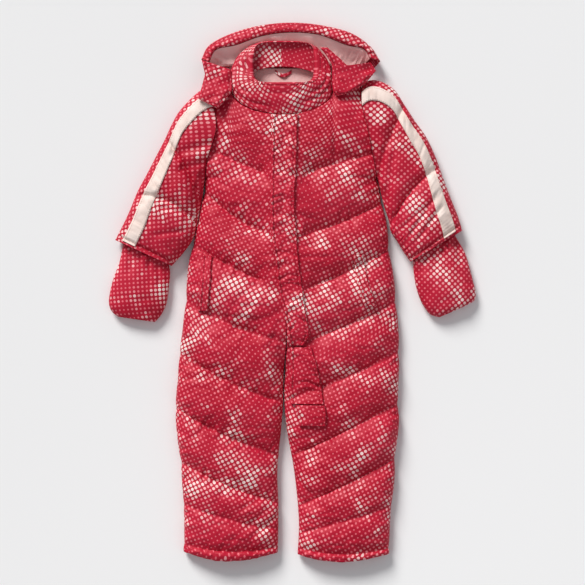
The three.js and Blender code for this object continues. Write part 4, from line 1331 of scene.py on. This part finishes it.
def build_collar():
    rows, ring = 70, 300
    t, angle = ring_grid(rows, ring, 1, -math.pi)
    base, belly, rim = (collar_line(line, angle) for line in COLLAR_LINES)
    control = belly * 2 - (base + rim) / 2
    s = t[..., None]
    outer = base * (1 - s) ** 2 + control * 2 * s * (1 - s) + rim * s**2
    inward = stack(-0.8 * np.sin(angle), 0, -np.cos(angle))
    inner = outer + inward * COLLAR_WALL
    length, uv = collar_layout(outer)
    soft = creased(length / 30, t * 2.4, COLLAR_SEED) * 1.8
    soft = soft + creased(length / 12, t * 3.5, COLLAR_SEED + 1) * 0.8
    gathers = creased(length / 8, t * 1.3, COLLAR_SEED + 2) * 2.0 * near(t, 0.2)
    gathers = gathers + creased(length / 9, t * 1.3, COLLAR_SEED + 4) * 1.3 * near(1 - t, 0.14)
    sewn = 1.5 * near(t - COLLAR_STITCH_SHARE, 0.022)
    ends = smooth(t / 0.06) * smooth((1 - t) / 0.05)
    relief = 1.6 * np.sin(np.pi * t) + (soft + gathers - sewn - collar_folds(angle, t)) * ends
    for place, side in zip(COLLAR_FRONT_SEAMS, (1, -1)):
        away = (outer[..., 0] - place) * side
        step = COLLAR_OVERLAP / 2 * np.tanh(away / 1.2) - 1.2 * near(away, 1.6)
        relief = relief + np.where(np.cos(angle) > 0.3, step, 0)
    outer = outer - inward * (relief * 0.8)[..., None]
    lined = creased(length / 26, t * 2.0, COLLAR_SEED + 3) * 1.8 * smooth((1 - t) / 0.1) * smooth(t / 0.1)
    inner = inner + inward * (lined[..., None] - 0.4) * 0.6
    padded_wall("collar", "ring", outer, inner, uv, 0.5, wrap=True)
    sewing_row = outer[round(COLLAR_STITCH_SHARE * (rows - 1))]
    sew(np.concatenate([sewing_row, sewing_row[:1]]), 0.5)


# Hood

HOOD_LINING_SEED = 81
HOOD_BRIM_SEED = 91
HOOD_CORNER_SEED = 101
BRIM_STITCH_ROWS = (4, 18)

# A lining's cut is longer than it looks from above, for its slope and folds
LINING_CUT_FACTOR = 1.15


def hood_grid(columns, rows):
    """Shares outward, stations along the hood's edge, and the edge's places at those stations."""
    out, along = grid(rows, columns)
    station = along * (len(HOOD_STATIONS) - 1)
    return out, station, {key: row_reader(HOOD_STATIONS, key)(station) for key in HOOD_STATIONS[0]}


def build_hood_shell():
    out, _, edge = hood_grid(130, 30)
    out = np.sin(np.pi / 2 * out)
    x = lerp(edge["outer_x"] * HOOD_BASE_SHARE, edge["outer_x"], out)
    y = lerp(HOOD_BASE_Y, edge["outer_y"], out)
    rim = smooth((out - 0.72) / 0.28)
    under = stack(x, y, HOOD_RIM_LOW * rim)
    top = stack(x, y, lerp(HOOD_WALL, HOOD_RIM_HIGH, rim))
    padded_wall("hood", "shell", under, top, cloth_uv(under, DOT_TURN["hood"]), 0.4)


def build_hood_lining():
    out, station, edge = hood_grid(150, 44)
    out = np.sin(np.pi / 2 * out)
    x = lerp(edge["inner_x"] * LINING_BASE_SHARE, edge["inner_x"], out)
    y = lerp(HOOD_BASE_Y + 1, edge["inner_y"] - 1, out)
    rise = (BRIM_EDGE_Z - HOOD_WALL) * out**LINING_SLOPE_POWER
    folds = creased(station * 1.7 + out * 1.2, out * 1.1, HOOD_LINING_SEED) * 3.4
    folds = folds + creased(station * 4.4, out * 2.2, HOOD_LINING_SEED + 1) * 1.2
    low = HOOD_WALL + SEAM_GAP + rise
    wavy = low + np.maximum(0, 1.4 + folds) * smooth(out / 0.15) * smooth((1 - out) / 0.12)
    top = stack(x, y, wavy + LINING_THICKNESS)
    piece = wall_mesh("hood_lining_sheet", top, stack(x, y, wavy), cloth_uv(top, 0))
    settle(piece, "lining", "hood_lining")
    width = float(np.ptp(x)) * MM
    depth = float(np.ptp(y)) * MM * LINING_CUT_FACTOR
    round(min(grid_area(top), width * depth), 4)


def grid_area(points):
    """Area of a grid of points, in square metres."""
    a = points[1:, :-1] - points[:-1, :-1]
    b = points[:-1, 1:] - points[:-1, :-1]
    c = points[1:, 1:] - points[:-1, 1:]
    d = points[1:, 1:] - points[1:, :-1]
    total = np.linalg.norm(np.cross(a, b), axis=-1).sum() + np.linalg.norm(np.cross(c, d), axis=-1).sum()
    return float(total) / 2 * MM * MM


def build_hood_brim():
    inward, station, edge = hood_grid(190, 22)
    x = lerp(edge["outer_x"], edge["inner_x"], inward)
    y = lerp(edge["outer_y"], edge["inner_y"], inward)
    under = lerp(HOOD_RIM_HIGH + SEAM_GAP, BRIM_EDGE_Z, np.sqrt(inward))
    puffy = 4 + 5 * dome(2 * inward - 1)
    folds = creased(station * 3.4, inward * 1.4, HOOD_BRIM_SEED) * 2.2
    folds = folds + creased(station * 8.5, inward * 2.0, HOOD_BRIM_SEED + 1) * 1.2
    top = stack(x, y, under + puffy + folds * smooth(inward / 0.15) * smooth((1 - inward) / 0.15))
    uv = cloth_uv(np.swapaxes(top, 0, 1), DOT_TURN["hood"]).swapaxes(0, 1)
    padded_wall("hood_brim", "roll", top, stack(x, y, under), uv, 0.5)
    for row in BRIM_STITCH_ROWS:
        sew(top[row], 0.3)


def node_points(name):
    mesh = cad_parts[name].data
    points = np.zeros(len(mesh.vertices) * 3)
    mesh.vertices.foreach_get("co", points)
    return points.reshape(-1, 3) / MM - [SHIFT_X, SHIFT_Y, 0]


def build_hood_corner(side):
    """A corner lies on the shoulder, so it takes its form from the solid's own lower points."""
    corners = HOOD_CORNERS[side]
    last_row = len(corners) - 1
    rows, columns = 60, 40
    v, u = grid(rows, columns, last_row)
    read = {key: np.interp(v, range(len(corners)), [row[key] for row in corners]) for key in corners[0]}
    x = lerp(read["left_x"], read["right_x"], u)
    y = lerp(read["left_y"], read["right_y"], u)
    points = node_points(f"hood_corner_{side}")
    lowest = np.zeros(x.size)
    for i, (px, py) in enumerate(zip(x.ravel(), y.ravel())):
        nearest = np.argsort(np.hypot(points[:, 0] - px, points[:, 1] - py))[:CORNER_NEAREST_POINTS]
        lowest[i] = points[nearest, 2].min()
    lowest = softened(lowest.reshape(x.shape), CORNER_SOFTENING)
    tip = smooth((x - CORNER_TIP["x"]) / 26) * smooth((y - CORNER_TIP["y"]) / 12)
    lowest = lerp(lowest, CORNER_TIP["z"], tip)
    if side == "right":
        lowest = lowest + FLAP_LIFT * smooth((x - y - FLAP_LIFT_FROM) / 40)
    width = np.hypot(read["right_x"] - read["left_x"], read["right_y"] - read["left_y"])
    edge = np.minimum(np.minimum(u, 1 - u) * width, np.minimum(v, last_row - v) * CORNER_ROW_LENGTH)
    folds = creased((x + y) / 17, (x - y) / 30, HOOD_CORNER_SEED) * 2.0
    folds = folds + creased(x / 8, y / 9, HOOD_CORNER_SEED + 1) * 0.7
    thickness = CORNER_THICKNESS * (0.45 + 0.55 * np.sqrt(np.clip(edge / 7, 0, 1)))
    hemmed = 1.2 * near(edge - STITCH_INSET, 1.6)
    top = stack(x, y, lowest + thickness + (folds - hemmed) * smooth(edge / 5))
    bottom = stack(x, y, lowest)
    padded_wall(f"hood_corner_{side}", "pad", top, bottom, cloth_uv(top, DOT_TURN["hood"]), 0.4)
    inset = STITCH_INSET / width[1:-1, 0]
    for share in (inset, 1 - inset):
        sew(row_points(top[1:-1], np.clip(share, 0, 1) * (columns - 1)), 0.3)


# Neck lining and loop

NECK_LINING_SEED = 111


def build_neck_lining():
    v, u = grid(40, 90)
    x = lerp(NECK_LINING["left"], NECK_LINING["right"], u)
    y = lerp(NECK_LINING["top"], NECK_LINING["bottom"], v)
    folds = ripple(x / 19, y / 60, NECK_LINING_SEED) * 1.4
    folds = folds + ripple(x / 8, y / 30, NECK_LINING_SEED + 1) * 0.4
    z = BACK_WALL + SEAM_GAP + np.maximum(0, folds) * smooth(v / 0.2) * smooth((1 - v) / 0.2)
    top = stack(x, y, z + LINING_THICKNESS)
    piece = wall_mesh("neck_lining_sheet", top, stack(x, y, z), cloth_uv(top, 0))
    settle(piece, "lining", "neck_lining")


LOOP = {"left": -32, "right": -4, "y": 377, "sag": 7, "width": 6.4, "thickness": 1.8, "lift": 1.5}


def build_hanger_loop():
    """A narrow strip folded double, sewn down at both ends and a little off the lining between them."""
    rows, columns = 9, 60
    v, t = grid(rows, columns)
    x = lerp(LOOP["left"], LOOP["right"], t)
    y = LOOP["y"] - LOOP["sag"] * np.sin(np.pi * t) - LOOP["width"] * v
    base = BACK_WALL + SEAM_GAP + LINING_THICKNESS + SEAM_GAP
    z = base + LOOP["lift"] * np.sin(np.pi * t) ** 2
    top = stack(x, y, z + LOOP["thickness"] * (0.7 + 0.3 * dome(2 * v - 1)))
    piece = wall_mesh("hanger_loop_strip", top, stack(x, y, z), cloth_uv(top, DOT_TURN["body"]))
    settle(piece, "cloth", "hanger_loop")
    length = line_length(top[rows // 2])


# The scene around it

VIEW_WIDTH = 0.9945
CAMERA_HEIGHT = 4.0
SENSOR = 36
VIEW_MIDDLE = {"x": -2.55, "y": -0.85}
FLOOR_REACH = 6.0
FLOOR_Z = -0.0004


def build_camera():
    camera = add_object("camera", bpy.data.cameras.new("camera"))
    camera.data.sensor_width = SENSOR
    camera.data.lens = SENSOR * CAMERA_HEIGHT / VIEW_WIDTH
    camera.location = ((VIEW_MIDDLE["x"] + SHIFT_X) * MM, (VIEW_MIDDLE["y"] + SHIFT_Y) * MM, CAMERA_HEIGHT)
    camera.data.clip_end = 30
    bpy.context.scene.camera = camera


def build_floor():
    """A pale surface whose tone drifts a little."""
    mesh = bpy.data.meshes.new("floor")
    around = ((-1, -1), (1, -1), (1, 1), (-1, 1))
    mesh.from_pydata([(FLOOR_REACH * x, FLOOR_REACH * y, FLOOR_Z) for x, y in around], [], [(0, 1, 2, 3)])
    floor = add_object("floor", mesh)
    material, tree, shader = node_tree("floor")
    tone = noise_node(tree, add_node(tree, "TexCoord", "Object", {}), 0.8, detail=1.0)
    tree.links.new(mix_node(tree, tone, *FLOOR_TONES), shader.inputs["Base Color"])
    shader.inputs["Roughness"].default_value = 0.95
    shader.inputs["Specular IOR Level"].default_value = 0.1
    mesh.materials.append(material)


def add_light(name, kind, aim, power, colour, place=(0, 0, 0), **settings):
    light = bpy.data.lights.new(name, kind)
    light.energy = power
    light.color = colour
    for setting, value in settings.items():
        setattr(light, setting, value)
    holder = add_object(name, light)
    holder.location = place
    holder.rotation_euler = Vector(aim).to_track_quat("-Z", "Y").to_euler()


def build_lights():
    bpy.context.scene.view_settings.view_transform = "Standard"
    add_light("key", "SUN", (0.42, -0.80, -0.56), 3.35, (1.0, 0.99, 0.975), angle=math.radians(24))
    beside = Vector((1.8, -1.2, 2.6))
    size = {"shape": "RECTANGLE", "size": 2.4, "size_y": 2.4}
    add_light("fill", "AREA", -beside, 6, (0.98, 0.98, 1.0), beside, **size)
    world = bpy.data.worlds.new("studio")
    world.use_nodes = True
    background = world.node_tree.nodes["Background"]
    background.inputs["Color"].default_value = (0.95, 0.96, 1.0, 1)
    background.inputs["Strength"].default_value = 0.36
    bpy.context.scene.world = world


build_camera()
build_floor()
build_lights()
for side in ("right", "left"):
    build_front(HALVES[side])
    build_back(HALVES[side])
    build_sleeve(SLEEVES[side])
    build_tape(SLEEVES[side])
    build_mitten(SLEEVES[side])
for side in ("right", "left"):
    build_strip(f"pocket_welt_{side}", POCKET_EDGES[side], POCKET_THICKNESS, 18, puckers=0.6, step=1.4)
    build_hood_corner(side)
build_strip("placket", PLACKET_EDGES, PLACKET_THICKNESS, 40, puckers=1.0)
build_strip("leg_placket", LEG_PLACKET_EDGES, PLACKET_THICKNESS, 46, puckers=1.0)
build_strip("zip_end_patch", ZIP_END_EDGES, PLACKET_THICKNESS, 46, puckers=0.7)
build_collar()
build_hood_shell()
build_hood_lining()
build_hood_brim()
build_neck_lining()
build_hanger_loop()
build_sewing("stitching", "thread", "cloth")
build_sewing("tape_stitching", "tape", "tape")
